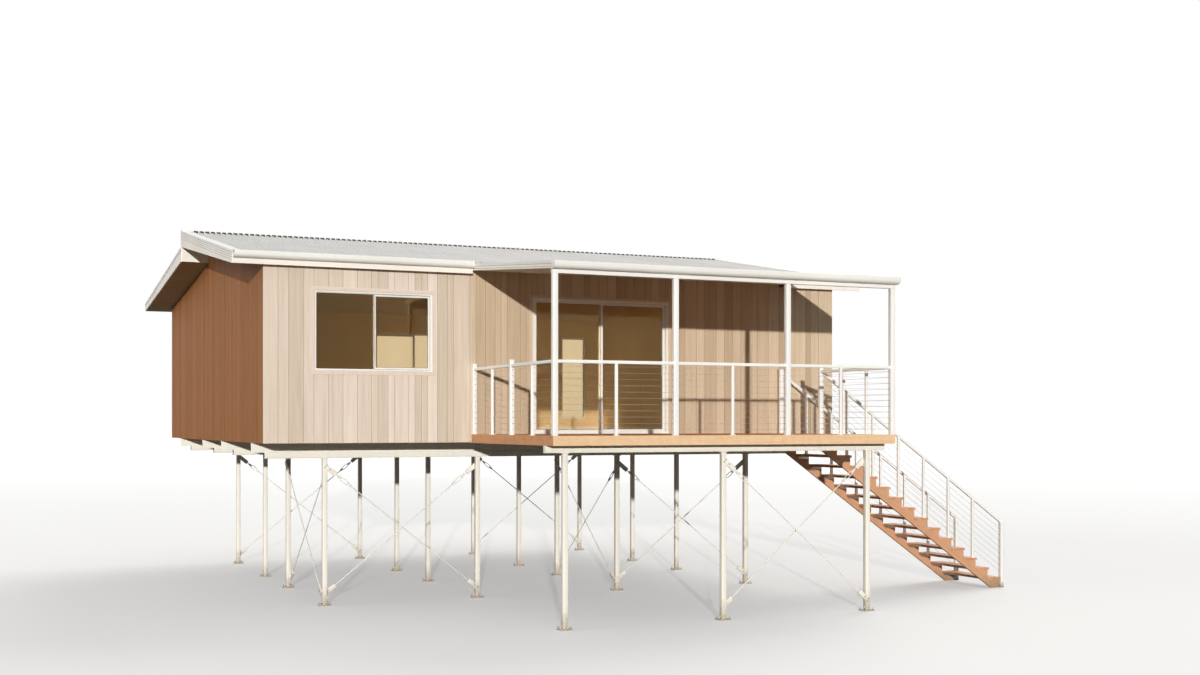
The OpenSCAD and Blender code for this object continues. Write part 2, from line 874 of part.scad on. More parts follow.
// A gutter's shape, smaller all round by an inset: a rounded front corner below, square elsewhere
module gutter_shape(inset, back_h) {
  radius = gutter_round_r - inset;
  intersection() {
    translate([inset - gutter_w, inset]) square([gutter_w - 2 * inset, back_h - inset]);
    union() {
      translate([gutter_round_r - gutter_w, gutter_round_r]) circle(r = radius);
      translate([gutter_round_r - gutter_w, 0]) square([gutter_w, back_h]);
      translate([-gutter_w, gutter_round_r]) square([gutter_w, back_h]);
    }
  }
}

module gutter_outline() {
  gutter_shape(0, gutter_h - gutter_back_drop);
  translate([-gutter_w, gutter_round_r])
    square([gutter_metal_t, gutter_h - gutter_round_r]);
}

module gutter_hollow() {
  gutter_shape(gutter_metal_t, gutter_h);
}

// A length of gutter with stop ends, its back at y and its sole at z
module gutter(x0, x1, y, z) {
  along_x(x0, x1 - x0)
    translate([y, z]) difference() {
      gutter_outline();
      gutter_hollow();
    }
  for (x = [x0, x1 - gutter_metal_t])
    along_x(x, gutter_metal_t) translate([y, z]) gutter_outline();
}

module gutters() {
  front_z = front_top(front_edge_y) - gutter_h;
  back_z = back_top(back_edge_y) - gutter_h;
  verandah_z = verandah_top(-deck_d) - gutter_h;
  color(CREAM) in_frame() {
    gutter(-verge_over, pale_l, front_edge_y, front_z);
    gutter(deck_end_x + fascia_t, house_l + verge_over, front_edge_y, front_z);
    mirror([0, 1, 0]) gutter(-verge_over, house_l + verge_over, -back_edge_y, back_z);
    gutter(verandah_x - fascia_t, deck_end_x + fascia_t, -deck_d, verandah_z);
  }
}

// Verandah roof on four posts and a front beam

post_bay = (deck_l - post_w) / 3;
post_y = -deck_d + post_w / 2;
verandah_x = pale_l + fascia_t;
verandah_l = deck_end_x - verandah_x;
verandah_in_y = post_y + post_w / 2;
verandah_rafter_n = 7;
sheet_start_y = -45;

function post_x(i) = deck_x + post_w / 2 + i * post_bay;

module verandah_posts() {
  color(CREAM) in_frame()
    for (i = [0:3])
      translate([post_x(i) - post_w / 2, post_y - post_w / 2, floor_h])
        cube([post_w, post_w, verandah_beam_z - floor_h]);
}

verandah_beam_h =
  verandah_top(-deck_d) - roofing_drop(verandah_pitch) - seat_gap - verandah_beam_z;

module verandah_beam() {
  color(CREAM) in_frame()
    translate([verandah_x, post_y - post_w / 2, verandah_beam_z])
      cube([verandah_l, post_w, verandah_beam_h]);
}

module verandah_lining() {
  color(CEILING_GREY) in_frame()
    along_x(verandah_x, verandah_l)
      polygon([
        [verandah_in_y, verandah_soffit(verandah_in_y)], [0, verandah_soffit(0)],
        [0, verandah_soffit(0) + lining_t],
        [verandah_in_y, verandah_soffit(verandah_in_y) + lining_t]
      ]);
}

module verandah_sheet() {
  front_y = -deck_d - roofing_past;
  color(ROOF_GREY) in_frame()
    ribbed_sheet(verandah_x, verandah_l, front_y, sheet_start_y,
      verandah_top(front_y) - roofing_drop(verandah_pitch), verandah_pitch);
}

// Deck: boards on joists, edged with fascia boards, on one front bearer

module deck_bearer() {
  color(CREAM) in_frame()
    translate([deck_x, deck_row_y - bearer_w / 2, deck_stump_top])
      cube([deck_l, bearer_w, deck_bearer_h]);
}

deck_joist_n = 13;
deck_fascia_t = 25;

module deck_joists() {
  inner_l = deck_l - 2 * deck_fascia_t;
  joist_gap = (inner_l - joist_t) / (deck_joist_n - 1);
  color(DECK_TIMBER) in_frame()
    union() {
      for (i = [0:deck_joist_n - 1])
        translate([deck_x + deck_fascia_t + i * joist_gap, -deck_d + deck_fascia_t, fascia_foot])
          cube([joist_t, deck_d - deck_fascia_t, floor_h - boards_t - fascia_foot]);
      translate([deck_x + deck_fascia_t, -joist_t, fascia_foot])
        cube([inner_l, joist_t, floor_h - boards_t - fascia_foot]);
    }
}

board_n = 35;
board_gap = 4;

module deck_boards() {
  inner_d = deck_d - deck_fascia_t;
  board_pitch = (inner_d + board_gap) / board_n;
  color(DECK_TIMBER) in_frame()
    for (i = [0:board_n - 1])
      translate([deck_x + deck_fascia_t, i * board_pitch - inner_d, floor_h - boards_t])
        cube([deck_l - 2 * deck_fascia_t, board_pitch - board_gap, boards_t]);
}

module deck_fascia() {
  height = floor_h - fascia_foot;
  color(DECK_TIMBER) in_frame()
    translate([deck_x, -deck_d, fascia_foot]) union() {
      cube([deck_l, deck_fascia_t, height]);
      cube([deck_fascia_t, deck_d, height]);
      translate([deck_l - deck_fascia_t, 0, 0]) cube([deck_fascia_t, deck_d, height]);
    }
}

// Balustrades: square rail and stanchions, with taut wires through them

rail_w = 45;
stanchion_w = 40;
rail_top = floor_h + rail_h;
wire_low = 80;
wire_gap = (rail_h - rail_w - wire_low - 40) / (wire_n - 1);

// A bay along X: top rail, wires and stanchions at given places, its deck level at the origin
module wire_bay(length, stanchions) {
  translate([0, -rail_w / 2, rail_h - rail_w]) cube([length, rail_w, rail_w]);
  for (x = stanchions)
    translate([x - stanchion_w / 2, -stanchion_w / 2, 0])
      cube([stanchion_w, stanchion_w, rail_h - rail_w / 2]);
  for (i = [0:wire_n - 1])
    translate([0, 0, wire_low + i * wire_gap])
      rotate([0, 90, 0]) cylinder(d = wire_d, h = length);
}

module front_balustrade() {
  bay = post_bay - post_w;
  color(CREAM) in_frame()
    for (i = [0:2])
      translate([post_x(i) + post_w / 2, post_y, floor_h]) wire_bay(bay, [bay / 2]);
}

module newel(x, y, height) {
  translate([x - newel_w / 2, y - newel_w / 2, floor_h]) cube([newel_w, newel_w, height]);
}

side_x = deck_x + post_w / 2;
side_end_x = deck_end_x - post_w / 2;
side_front_y = post_y + post_w / 2;
newel_h = rail_h + 60;

// A bay along Y between two places, its stanchions measured from the front
module side_bay(x, y0, y1, stanchions) {
  translate([x, y0, floor_h]) rotate([0, 0, 90]) wire_bay(y1 - y0, stanchions);
}

module left_balustrade() {
  back_newel_y = -newel_w / 2;
  mid_y = (side_front_y - newel_w) / 2;
  half = mid_y - newel_w / 2 - side_front_y;
  color(CREAM) in_frame()
    union() {
      newel(side_x, back_newel_y, newel_h);
      newel(side_x, mid_y, newel_h);
      side_bay(side_x, side_front_y, mid_y - newel_w / 2, [half / 2]);
      side_bay(side_x, mid_y + newel_w / 2, -newel_w, [half / 2]);
    }
}

stair_gap = 98;
stair_y = -stair_w - stair_gap;
wall_newel_y = -stair_gap - newel_w / 2;
stair_newel_y = stair_y + newel_w / 2;

module right_balustrade() {
  bay = stair_newel_y - newel_w / 2 - side_front_y;
  color(CREAM) in_frame() {
    newel(side_end_x, wall_newel_y, newel_h);
    union() {
      newel(side_end_x, stair_newel_y, newel_h);
      side_bay(side_end_x, side_front_y, stair_newel_y - newel_w / 2, [bay / 3, 2 * bay / 3]);
    }
  }
}

// Stair: cut stringers, open treads and sloping wire balustrades

total_rise = clear_h + floor_h;
rise = total_rise / riser_n;
tread_n = riser_n - 1;
throat = 80;
stair_slope = rise / going;
stair_angle = atan(stair_slope);
nosing = 25;

module stringer_outline() {
  seat_z = floor_h - tread_t;
  corner_z = seat_z - rise;
  horn = 160;
  foot_x = stair_x + (corner_z - throat + clear_h) / stair_slope;
  steps = [for (k = [1:tread_n]) each [
    [stair_x + (k - 1) * going, seat_z - k * rise],
    [stair_x + k * going, seat_z - k * rise]
  ]];
  polygon(concat(
    [[stair_x, fascia_foot]], steps,
    [
      [stair_x + tread_n * going, -clear_h], [foot_x, -clear_h],
      [stair_x - horn, corner_z - throat + horn * stair_slope], [stair_x - horn, fascia_foot]
    ]
  ));
}

module stair_stringers() {
  color(STAIR_TIMBER) in_frame()
    for (y = [stair_y, stair_y + stair_w - stringer_t])
      along_y(y, stringer_t) stringer_outline();
}

module stair_treads() {
  color(STAIR_TIMBER) in_frame()
    for (k = [1:tread_n])
      translate([stair_x + (k - 1) * going + 2, stair_y, floor_h - k * rise - tread_t])
        cube([going + nosing, stair_w, tread_t]);
}

stair_wire_n = 8;
stair_wire_gap = 104;
stair_rail_h = 1005;
tread_edge = 45;

// One side's balustrade: rail, newel at the foot, stanchions on treads and sloping wires
module stair_balustrade() {
  start_x = side_end_x + newel_w / 2 + seat_gap;
  end_x = stair_x + tread_n * going + newel_gap;
  run = end_x - start_x;
  rail_z = floor_h + stair_rail_h;
  slope_h = rail_w / cos(stair_angle);
  rail_run = run + newel_w;
  along_y(-rail_w / 2, rail_w)
    polygon([
      [start_x, rail_z - slope_h], [start_x + rail_run, rail_z - slope_h - rail_run * stair_slope],
      [start_x + rail_run, rail_z - rail_run * stair_slope], [start_x, rail_z]
    ]);
  for (k = [2:2:tread_n - 2])
    translate([stair_x + k * going - tread_edge, 0, floor_h - k * rise])
      translate([-stanchion_w / 2, -stanchion_w / 2, 0])
        cube([stanchion_w, stanchion_w, stair_rail_h - 5]);
  translate([end_x, -newel_w / 2, -clear_h])
    cube([newel_w, newel_w, rail_z - run * stair_slope + clear_h - 60]);
  wire_x = start_x + wire_d * sin(stair_angle) / 2;
  for (i = [0:stair_wire_n - 1])
    translate([wire_x, 0, floor_h + 120 + i * stair_wire_gap])
      rotate([0, 90 + stair_angle, 0]) cylinder(d = wire_d, h = (run + 5) / cos(stair_angle));
}

module stair_balustrades() {
  color(CREAM) in_frame()
    for (y = [stair_newel_y, wall_newel_y])
      translate([0, y, 0]) stair_balustrade();
}

house_stumps();
deck_stumps();
floor_bearers();
floor_beams();
house_braces();
deck_braces();
floor_joists();
floor_sheet();
left_gable_wall();
right_gable_wall();
back_wall();
front_wall_left();
front_wall_middle();
door_head_wall();
front_wall_right();
window_frames();
window_glass();
door_frame();
door_fixed_panel();
door_fixed_glass();
door_sliding_panel();
door_sliding_glass();
roof_lining();
rafters();
front_roof_sheet();
back_roof_sheet();
ridge_board();
ridge_capping();
barge_boards();
eave_fascias();
gutters();
verandah_posts();
verandah_beam();
verandah_lining();
verandah_sheet();
deck_bearer();
deck_joists();
deck_boards();
deck_fascia();
front_balustrade();
left_balustrade();
right_balustrade();
stair_stringers();
stair_treads();
stair_balustrades();
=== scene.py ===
# %% [markdown]
# # A stilt house, finished for rendering
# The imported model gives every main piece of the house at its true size. This lesson adds what
# makes it look built: separate boards, rounded steel, screws, folded metal, taut wires and worn
# paint. All meshes are drawn in the house's own coordinates, in metres: X runs along the front
# wall, Y goes towards the back, Z goes up, and zero is the cladding's left front corner at its
# foot.

# %% Load the frame and find the house's corner in it
import json
import math
import random

import bmesh
import bpy
from mathutils import Matrix, Vector

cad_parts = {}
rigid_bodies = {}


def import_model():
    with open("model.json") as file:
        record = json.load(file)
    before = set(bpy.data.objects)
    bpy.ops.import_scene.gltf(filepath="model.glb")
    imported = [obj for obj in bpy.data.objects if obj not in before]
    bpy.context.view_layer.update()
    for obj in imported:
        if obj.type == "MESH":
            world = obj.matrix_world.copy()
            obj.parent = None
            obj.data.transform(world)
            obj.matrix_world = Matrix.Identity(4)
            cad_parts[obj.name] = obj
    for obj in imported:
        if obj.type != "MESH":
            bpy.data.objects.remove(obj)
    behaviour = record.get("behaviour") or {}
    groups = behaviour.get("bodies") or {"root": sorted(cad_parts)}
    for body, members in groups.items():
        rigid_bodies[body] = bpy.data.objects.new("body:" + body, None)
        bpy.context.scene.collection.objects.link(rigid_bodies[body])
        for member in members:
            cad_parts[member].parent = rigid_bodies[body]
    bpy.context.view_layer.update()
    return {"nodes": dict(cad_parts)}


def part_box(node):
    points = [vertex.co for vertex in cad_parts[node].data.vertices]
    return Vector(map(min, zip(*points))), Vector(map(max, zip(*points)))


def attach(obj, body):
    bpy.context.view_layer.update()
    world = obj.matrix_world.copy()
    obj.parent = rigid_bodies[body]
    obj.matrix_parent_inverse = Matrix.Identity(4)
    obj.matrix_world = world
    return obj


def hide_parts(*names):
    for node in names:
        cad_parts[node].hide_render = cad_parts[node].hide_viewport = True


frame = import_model()
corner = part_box("left_gable_wall")[0]
scene = bpy.context.scene
print("the house's corner in the frame:", [round(value, 4) for value in corner])

# %% [markdown]
# ## Sizes
# The same few sizes place nearly everything, so they have names. The roof's upper and lower faces
# are straight lines across the house, and a function for each line gives its height at any place.

# %% Name the main sizes
UP = (0, 0, 1)
HOUSE_L, HOUSE_D = 9.700, 9.400
WALL_T, CLADDING_T, FLOOR_H, CLEAR_H = 0.120, 0.020, 0.125, 2.500
PALE_L, RIDGE_Y = 3.140, 4.820
DECK_X, DECK_END, DECK_D = 3.165, 8.640, 3.280
VERGE, FRONT_OVER, BACK_OVER, FASCIA_T = 0.450, 0.140, 0.440, 0.020
STUMP_W, STUMP_TOP, DECK_STUMP_TOP = 0.075, -0.240, -0.110
STUMP_ROWS = (0.940, 3.550, 5.500, 8.200)
STUMP_COLUMNS = (1.120, 3.590, 6.060, 8.530)
DECK_COLUMNS, DECK_ROW_Y = (3.460, 5.9025, 8.345), -2.970
TREADS = 14
STAIR_RISE, STAIR_GOING = (CLEAR_H + FLOOR_H) / (TREADS + 1), 0.252
STAIR_ANGLE = math.atan2(STAIR_RISE, STAIR_GOING)
BACK_EDGE, STEP_Y = HOUSE_D + BACK_OVER, RIDGE_Y - FASCIA_T
ROOF_LEFT, ROOF_RIGHT = -VERGE - FASCIA_T, HOUSE_L + VERGE + FASCIA_T
FRONT_ANGLE, BACK_ANGLE, VERANDAH_ANGLE = (math.radians(a) for a in (10, 6.8, 5.0))
EAVE_H, EAVE_LINING_H, VERANDAH_WALL_H, STEP_DROP = 2.751, 2.569, 2.730, 0.285
FRONT_RIDGE_DEPTH, BACK_RIDGE_DEPTH, BACK_EAVE_DEPTH, VERANDAH_DEPTH = 0.276, 0.247, 0.150, 0.098
print("stair rise:", round(STAIR_RISE, 4), "m")

# %% Draw the roof's lines


def front_top(y):
    """Height of the front plane's rib crowns."""
    return EAVE_H + (y + FRONT_OVER) * math.tan(FRONT_ANGLE)


def back_top(y):
    """Height of the back plane's rib crowns."""
    return front_top(RIDGE_Y) - STEP_DROP - (y - RIDGE_Y) * math.tan(BACK_ANGLE)


def front_soffit(y):
    """Height of the lining's underside in front of the ridge."""
    rise = (front_top(RIDGE_Y) - FRONT_RIDGE_DEPTH - EAVE_LINING_H) / (RIDGE_Y + FRONT_OVER)
    return EAVE_LINING_H + (y + FRONT_OVER) * rise


def back_soffit(y):
    """Height of the lining's underside behind the ridge."""
    start = back_top(RIDGE_Y) - BACK_RIDGE_DEPTH
    slope = (back_top(BACK_EDGE) - BACK_EAVE_DEPTH - start) / (BACK_EDGE - RIDGE_Y)
    return start + (y - RIDGE_Y) * slope


def verandah_top(y):
    """Height of the verandah roofing's rib crowns."""
    return VERANDAH_WALL_H + y * math.tan(VERANDAH_ANGLE)


def verandah_soffit(y):
    """Height of the verandah ceiling's underside."""
    return verandah_top(y) - VERANDAH_DEPTH


print("ridge height over the ground:", round(front_top(RIDGE_Y) + CLEAR_H, 3), "m")

# %% [markdown]
# ## Camera
# The photograph was taken from the left of the house at eye height, with a shifted lens that keeps
# the posts upright. A level camera with shift does the same here.

# %% Set the camera
PICTURE_W, PICTURE_H = 1200, 675
FOCAL_PX, HORIZON_PX, YAW_DEG = 1435.4, 423.4, 24.29


def add_object(name, data):
    """An object that holds some data, in the scene."""
    thing = bpy.data.objects.new(name, data)
    scene.collection.objects.link(thing)
    return thing


camera = add_object("camera", bpy.data.cameras.new("camera"))
camera.location = corner + Vector((-4.08, -20.84, 0.29))
camera.rotation_euler = (math.radians(90), 0, math.radians(-YAW_DEG))
camera.data.sensor_width = 36
camera.data.lens = FOCAL_PX / PICTURE_W * camera.data.sensor_width
camera.data.shift_y = (HORIZON_PX - PICTURE_H / 2) / PICTURE_W
camera.data.clip_end = 1500
scene.camera = camera
print("lens:", round(camera.data.lens, 2), "mm")

# %% [markdown]
# ## Tools for nodes
# The world, the floor and the materials are built from nodes, and a few short functions keep that
# easy to read. A node's output knows the tree that it is in, so a tree is only named for a node
# that nothing is linked to.

# %% Make nodes and join them


def srgb(red, green, blue, share=1.0):
    """A colour in Blender's linear values, from a share of the values of a picture."""
    def linear(value):
        value = value * share / 255
        return value / 12.92 if value <= 0.04045 else ((value + 0.055) / 1.055) ** 2.4

    return (linear(red), linear(green), linear(blue), 1.0)


def feed(node, inputs):
    """Gives a node's inputs their values: numbers, colours, or outputs to link from."""
    for name, value in inputs.items():
        if isinstance(value, bpy.types.NodeSocket):
            node.id_data.links.new(value, node.inputs[name])
        else:
            node.inputs[name].default_value = value


def put(kind, inputs=None, tree=None, **settings):
    """A new node, in a tree or in that of the first output among its inputs."""
    inputs = inputs or {}
    if tree is None:
        outputs = [value for value in inputs.values() if isinstance(value, bpy.types.NodeSocket)]
        tree = outputs[0].id_data
    node = tree.nodes.new(kind)
    for name, value in settings.items():
        setattr(node, name, value)
    feed(node, inputs)
    return node


def maths(operation, first, second=0.5, clamp=False):
    """The result of a Math node."""
    values = {0: first, 1: second}
    return put("ShaderNodeMath", values, operation=operation, use_clamp=clamp).outputs[0]


def times(first, second):
    """One value multiplied by another."""
    return maths("MULTIPLY", first, second)


def plus(first, second):
    """The sum of two values."""
    return maths("ADD", first, second)


def remap(value, low, high, new_low=0.0, new_high=1.0):
    """A value stretched from one range to another, and kept inside it."""
    return put("ShaderNodeMapRange",
               {0: value, 1: low, 2: high, 3: new_low, 4: new_high}).outputs[0]


def blend(factor, first, second, how="MIX"):
    """Two colours mixed."""
    values = {0: factor, 6: first, 7: second}
    return put("ShaderNodeMix", values, data_type="RGBA", blend_type=how).outputs[2]


print("node tools: put, feed, maths, times, plus, remap and blend")

# %% [markdown]
# ## Light
# A low sun comes from the left front, as in the photograph, where the verandah roof throws a
# slanting shadow on the wall behind it. Two weak wide suns light the left side and the back. The
# world is a dome that is brightest overhead, so that eaves and ceilings stay deep in shade, and it
# looks white to the camera, to glass and to metal.

# %% Set the suns and the world
for name, way, energy, angle, colour in (
        ("key_sun", (0.378, 1.0, -0.137), 2.80, 0.015, (255, 252, 247)),
        ("side_sun", (1.0, 0.05, -0.30), 0.60, 0.5, (255, 252, 246)),
        ("back_sun", (-0.7, -0.6, -0.8), 1.50, 0.7, (255, 253, 250))):
    sun = add_object(name, bpy.data.lights.new(name, "SUN"))
    sun.rotation_euler = Vector(way).to_track_quat("-Z", "Y").to_euler()
    sun.data.energy, sun.data.angle, sun.data.color = energy, angle, srgb(*colour)[:3]

world = bpy.data.worlds.new("plain_studio")
scene.world = world
world.use_nodes = True
sky = world.node_tree
rays = put("ShaderNodeLightPath", tree=sky).outputs
seen = maths("MAXIMUM", rays["Is Camera Ray"], rays["Is Glossy Ray"])
seen = maths("MAXIMUM", seen, rays["Is Transmission Ray"])
ray_way = put("ShaderNodeTexCoord", tree=sky).outputs["Generated"]
lift = put("ShaderNodeSeparateXYZ", {0: ray_way}).outputs["Z"]
dome = times(times(lift, lift), 0.70)
dome = plus(times(dome, remap(lift, 0.0, 0.001)), 0.04)
feed(sky.nodes["Background"], {"Color": (1, 1, 1, 1), "Strength": maths("MAXIMUM", dome, seen)})
scene.view_settings.view_transform = "Standard"
print("lights:", [light.name for light in bpy.data.lights])

# %% [markdown]
# ## Floor
# The floor is one large plain sheet at the level that the stumps stand on. It keeps the shadow of
# the house near it, and turns white with distance, so that it ends without an edge.

# %% Make the floor
FLOOR_REACH = 600.0


def new_material(name):
    """A material, its Principled shader, and the place on the object that is shaded."""
    material = bpy.data.materials.new(name)
    material.use_nodes = True
    place = put("ShaderNodeTexCoord", tree=material.node_tree).outputs["Object"]
    return material, material.node_tree.nodes["Principled BSDF"], place


floor_material, shader, place = new_material("studio_floor")
distance = put("ShaderNodeVectorMath", {0: place}, operation="LENGTH").outputs["Value"]
far = remap(distance, 14.0, 70.0)
camera_ray = put("ShaderNodeLightPath", tree=floor_material.node_tree).outputs["Is Camera Ray"]
pale = blend(camera_ray, (0.15, 0.135, 0.11, 1), (0.60, 0.60, 0.59, 1))
feed(shader, {"Base Color": blend(far, pale, (0, 0, 0, 1)), "Roughness": 0.9,
              "Specular IOR Level": 0.1, "Emission Color": (1, 1, 1, 1),
              "Emission Strength": times(remap(far, 0, 1, 0.36, 1.0), camera_ray)})

floor_mesh = bpy.data.meshes.new("studio_floor")
ring = [math.radians(a) for a in range(0, 360, 5)]
floor_mesh.from_pydata([(FLOOR_REACH * math.cos(a), FLOOR_REACH * math.sin(a), 0) for a in ring],
                       [], [list(range(len(ring)))])
floor_mesh.materials.append(floor_material)
studio_floor = add_object("studio_floor", floor_mesh)
print("floor radius:", FLOOR_REACH, "m")

# %% [markdown]
# ## Shared effects
# Timber, paint and zinc show the same few effects in many places, so each effect is one node group
# with named inputs. Timber has broad streaks and fine fibres along the grain, and each board has a
# tone of its own. Paint has a fine skin and faint clouds. Rain leaves runs, and soil splashes up
# the feet of the stumps. Edges that are touched often are paler.

# %% Group what timber and paint show


def new_tree(name, kind, inputs, outputs):
    """A node tree with named sockets; gives the tree, its inputs and its output node."""
    tree = bpy.data.node_groups.new(name, kind)
    for label, (socket_kind, value) in inputs.items():
        socket = tree.interface.new_socket(label, in_out="INPUT",
                                           socket_type="NodeSocket" + socket_kind)
        if value is not None:
            socket.default_value = value
    for label, socket_kind in outputs.items():
        tree.interface.new_socket(label, in_out="OUTPUT", socket_type="NodeSocket" + socket_kind)
    return tree, put("NodeGroupInput", tree=tree).outputs, put("NodeGroupOutput", tree=tree)


def stretched_noise(vector, scale, detail=3.0, distortion=0.0):
    """Noise on a vector that is first multiplied by a scale for each axis."""
    spread = put("ShaderNodeVectorMath", {0: vector, 1: scale}, operation="MULTIPLY").outputs[0]
    values = {"Vector": spread, "Scale": 1.0, "Detail": detail, "Distortion": distortion}
    return put("ShaderNodeTexNoise", values).outputs["Fac"]


def scaled_vector(vector, scale):
    """A vector multiplied by one number."""
    values = {0: vector, "Scale": scale}
    return put("ShaderNodeVectorMath", values, operation="SCALE").outputs[0]


timber, entry, leave = new_tree(
    "timber_figure", "ShaderNodeTree",
    {"Vector": ("Vector", None), "Tone": ("Float", 0.5), "Pale": ("Color", (1, 1, 1, 1)),
     "Deep": ("Color", (0.5, 0.5, 0.5, 1)), "Streak Width": ("Float", 0.03),
     "Streak Share": ("Float", 0.5)},
    {"Colour": "Color", "Height": "Float", "Roughness": "Float"})
shift = scaled_vector((17.3, 29.1, 53.7), entry["Tone"])
moved = put("ShaderNodeVectorMath", {0: entry["Vector"], 1: shift}).outputs[0]
sized = scaled_vector(moved, maths("DIVIDE", 1.0, entry["Streak Width"]))
broad = remap(stretched_noise(sized, (1.0, 1.0, 0.035), 5.0, 0.6), 0.3, 0.7)
figure = stretched_noise(sized, (2.7, 2.7, 0.05), 3.0, 1.5)
fibre = stretched_noise(sized, (11.0, 11.0, 0.12), 2.0)
streak = plus(times(broad, 0.65), times(figure, 0.35))
of_board = times(entry["Tone"], maths("SUBTRACT", 1.0, entry["Streak Share"]))
of_streak = times(streak, entry["Streak Share"])
colour = blend(maths("ADD", of_board, of_streak, clamp=True), entry["Pale"], entry["Deep"])
feed(leave, {"Colour": blend(1.0, colour, remap(fibre, 0.3, 0.7, 1.04, 0.93), "MULTIPLY"),
             "Height": plus(times(fibre, 0.7), times(streak, 0.5)),
             "Roughness": remap(streak, 0, 1, 0.56, 0.74)})

paint_skin, entry, leave = new_tree(
    "paint_skin", "ShaderNodeTree", {"Vector": ("Vector", None), "Grain Size": ("Float", 0.003)},
    {"Height": "Float", "Shade": "Float"})
finer = maths("DIVIDE", 1.0, entry["Grain Size"])
dots = put("ShaderNodeTexNoise", {"Vector": entry["Vector"], "Scale": finer, "Detail": 1.0})
clouds = stretched_noise(entry["Vector"], (1.1, 1.1, 0.7), 4.0)
feed(leave, {"Height": dots.outputs["Fac"], "Shade": remap(clouds, 0.3, 0.7, 1.03, 0.95)})
print("node groups:", [group.name for group in bpy.data.node_groups])

# %% Group what weather and hands leave


def new_mask(name, label, value):
    """A group that gives a mask from a vector and one more input."""
    return new_tree(name, "ShaderNodeTree", {"Vector": ("Vector", None), label: ("Float", value)},
                    {"Mask": "Float"})


rain_runs, entry, leave = new_mask("rain_runs", "Amount", 0.5)
runs = remap(stretched_noise(entry["Vector"], (16, 16, 0.9), 4.0), 0.48, 0.78)
patches = remap(stretched_noise(entry["Vector"], (0.9, 0.9, 0.5), 2.0), 0.35, 0.7)
feed(leave, {"Mask": times(times(runs, patches), entry["Amount"])})

soil_splash, entry, leave = new_mask("soil_splash", "Reach", 0.35)
level = put("ShaderNodeSeparateXYZ", {0: entry["Vector"]}).outputs["Z"]
ragged = plus(level, times(stretched_noise(entry["Vector"], (30, 30, 22), 5.0), 0.30))
feed(leave, {"Mask": remap(maths("SUBTRACT", ragged, 0.15), 0.0, entry["Reach"], 0.75, 0.0)})

worn_edge, entry, leave = new_mask("worn_edge", "Amount", 0.5)
pointed = put("ShaderNodeNewGeometry", tree=worn_edge).outputs["Pointiness"]
patches = remap(stretched_noise(entry["Vector"], (9, 9, 9), 3.0), 0.35, 0.65)
feed(leave, {"Mask": times(times(remap(pointed, 0.51, 0.62), patches), entry["Amount"])})
print("node groups:", [group.name for group in bpy.data.node_groups])

# %% [markdown]
# ## Timber finishes
# Every timber uses the same figure, turned so that the grain runs along the board. The cladding's
# joints are grooves, whose floors are darker because dirt and shade stay in them. The cladding,
# the deck and the treads carry a tone for each board in an attribute of the mesh.

# %% Describe a timber
GRAIN_UP = (0, 0, 0)
GRAIN_ALONG_X = (0, -math.pi / 2, 0)
GRAIN_ALONG_Y = (math.pi / 2, 0, 0)
GRAIN_DOWN_STAIR = (0, -math.pi / 2 - STAIR_ANGLE, 0)


def use_group(group, inputs):
    """The outputs of a group's node."""
    return put("ShaderNodeGroup", inputs, node_tree=group).outputs


def mesh_value(place, name):
    """A value that the mesh carries, in the tree of a place."""
    return put("ShaderNodeAttribute", tree=place.id_data, attribute_name=name).outputs["Fac"]


def lay_over(colour, effect, place, amount, tint):
    """A colour with a tint over it where the effect's mask is strong."""
    return blend(use_group(effect, {0: place, 1: amount})["Mask"], colour, tint)


def scaled_colour(colour, factor):
    """A linear colour made darker or paler."""
    return tuple(min(1, value * factor) for value in colour[:3]) + (1,)


def bump(height, distance):
    """The normal of a surface with a height, whose full range is a distance in metres."""
    values = {"Height": height, "Distance": distance, "Strength": 0.6}
    return put("ShaderNodeBump", values).outputs[0]


def timber_material(name, pale, deep, turn=GRAIN_UP, streak=0.02, share=0.5, runs=0.25,
                    worn=0.0, splash=0.0, gloss=0.0, joint=0.7):
    """A timber whose grain runs along the turned Z axis."""
    material, shader, place = new_material(name)
    pale, deep = srgb(*pale), srgb(*deep)
    turned = put("ShaderNodeMapping", {"Vector": place, "Rotation": turn}).outputs[0]
    wood = use_group(timber, {"Vector": turned, "Tone": mesh_value(place, "tone"), "Pale": pale,
                              "Deep": deep, "Streak Width": streak, "Streak Share": share})
    groove = times(mesh_value(place, "groove"), joint)
    colour = blend(groove, wood["Colour"], scaled_colour(deep, 0.35))
    colour = lay_over(colour, rain_runs, place, runs, scaled_colour(deep, 0.55))
    if worn:
        colour = lay_over(colour, worn_edge, place, worn, scaled_colour(pale, 1.25))
    if splash:
        colour = lay_over(colour, soil_splash, place, splash, srgb(150, 130, 105))
    feed(shader, {"Base Color": colour, "Roughness": maths("SUBTRACT", wood["Roughness"], gloss),
                  "Specular IOR Level": 0.25, "Normal": bump(wood["Height"], 0.0012)})
    return material


print("grain down the stair at", round(math.degrees(STAIR_ANGLE), 2), "degrees")

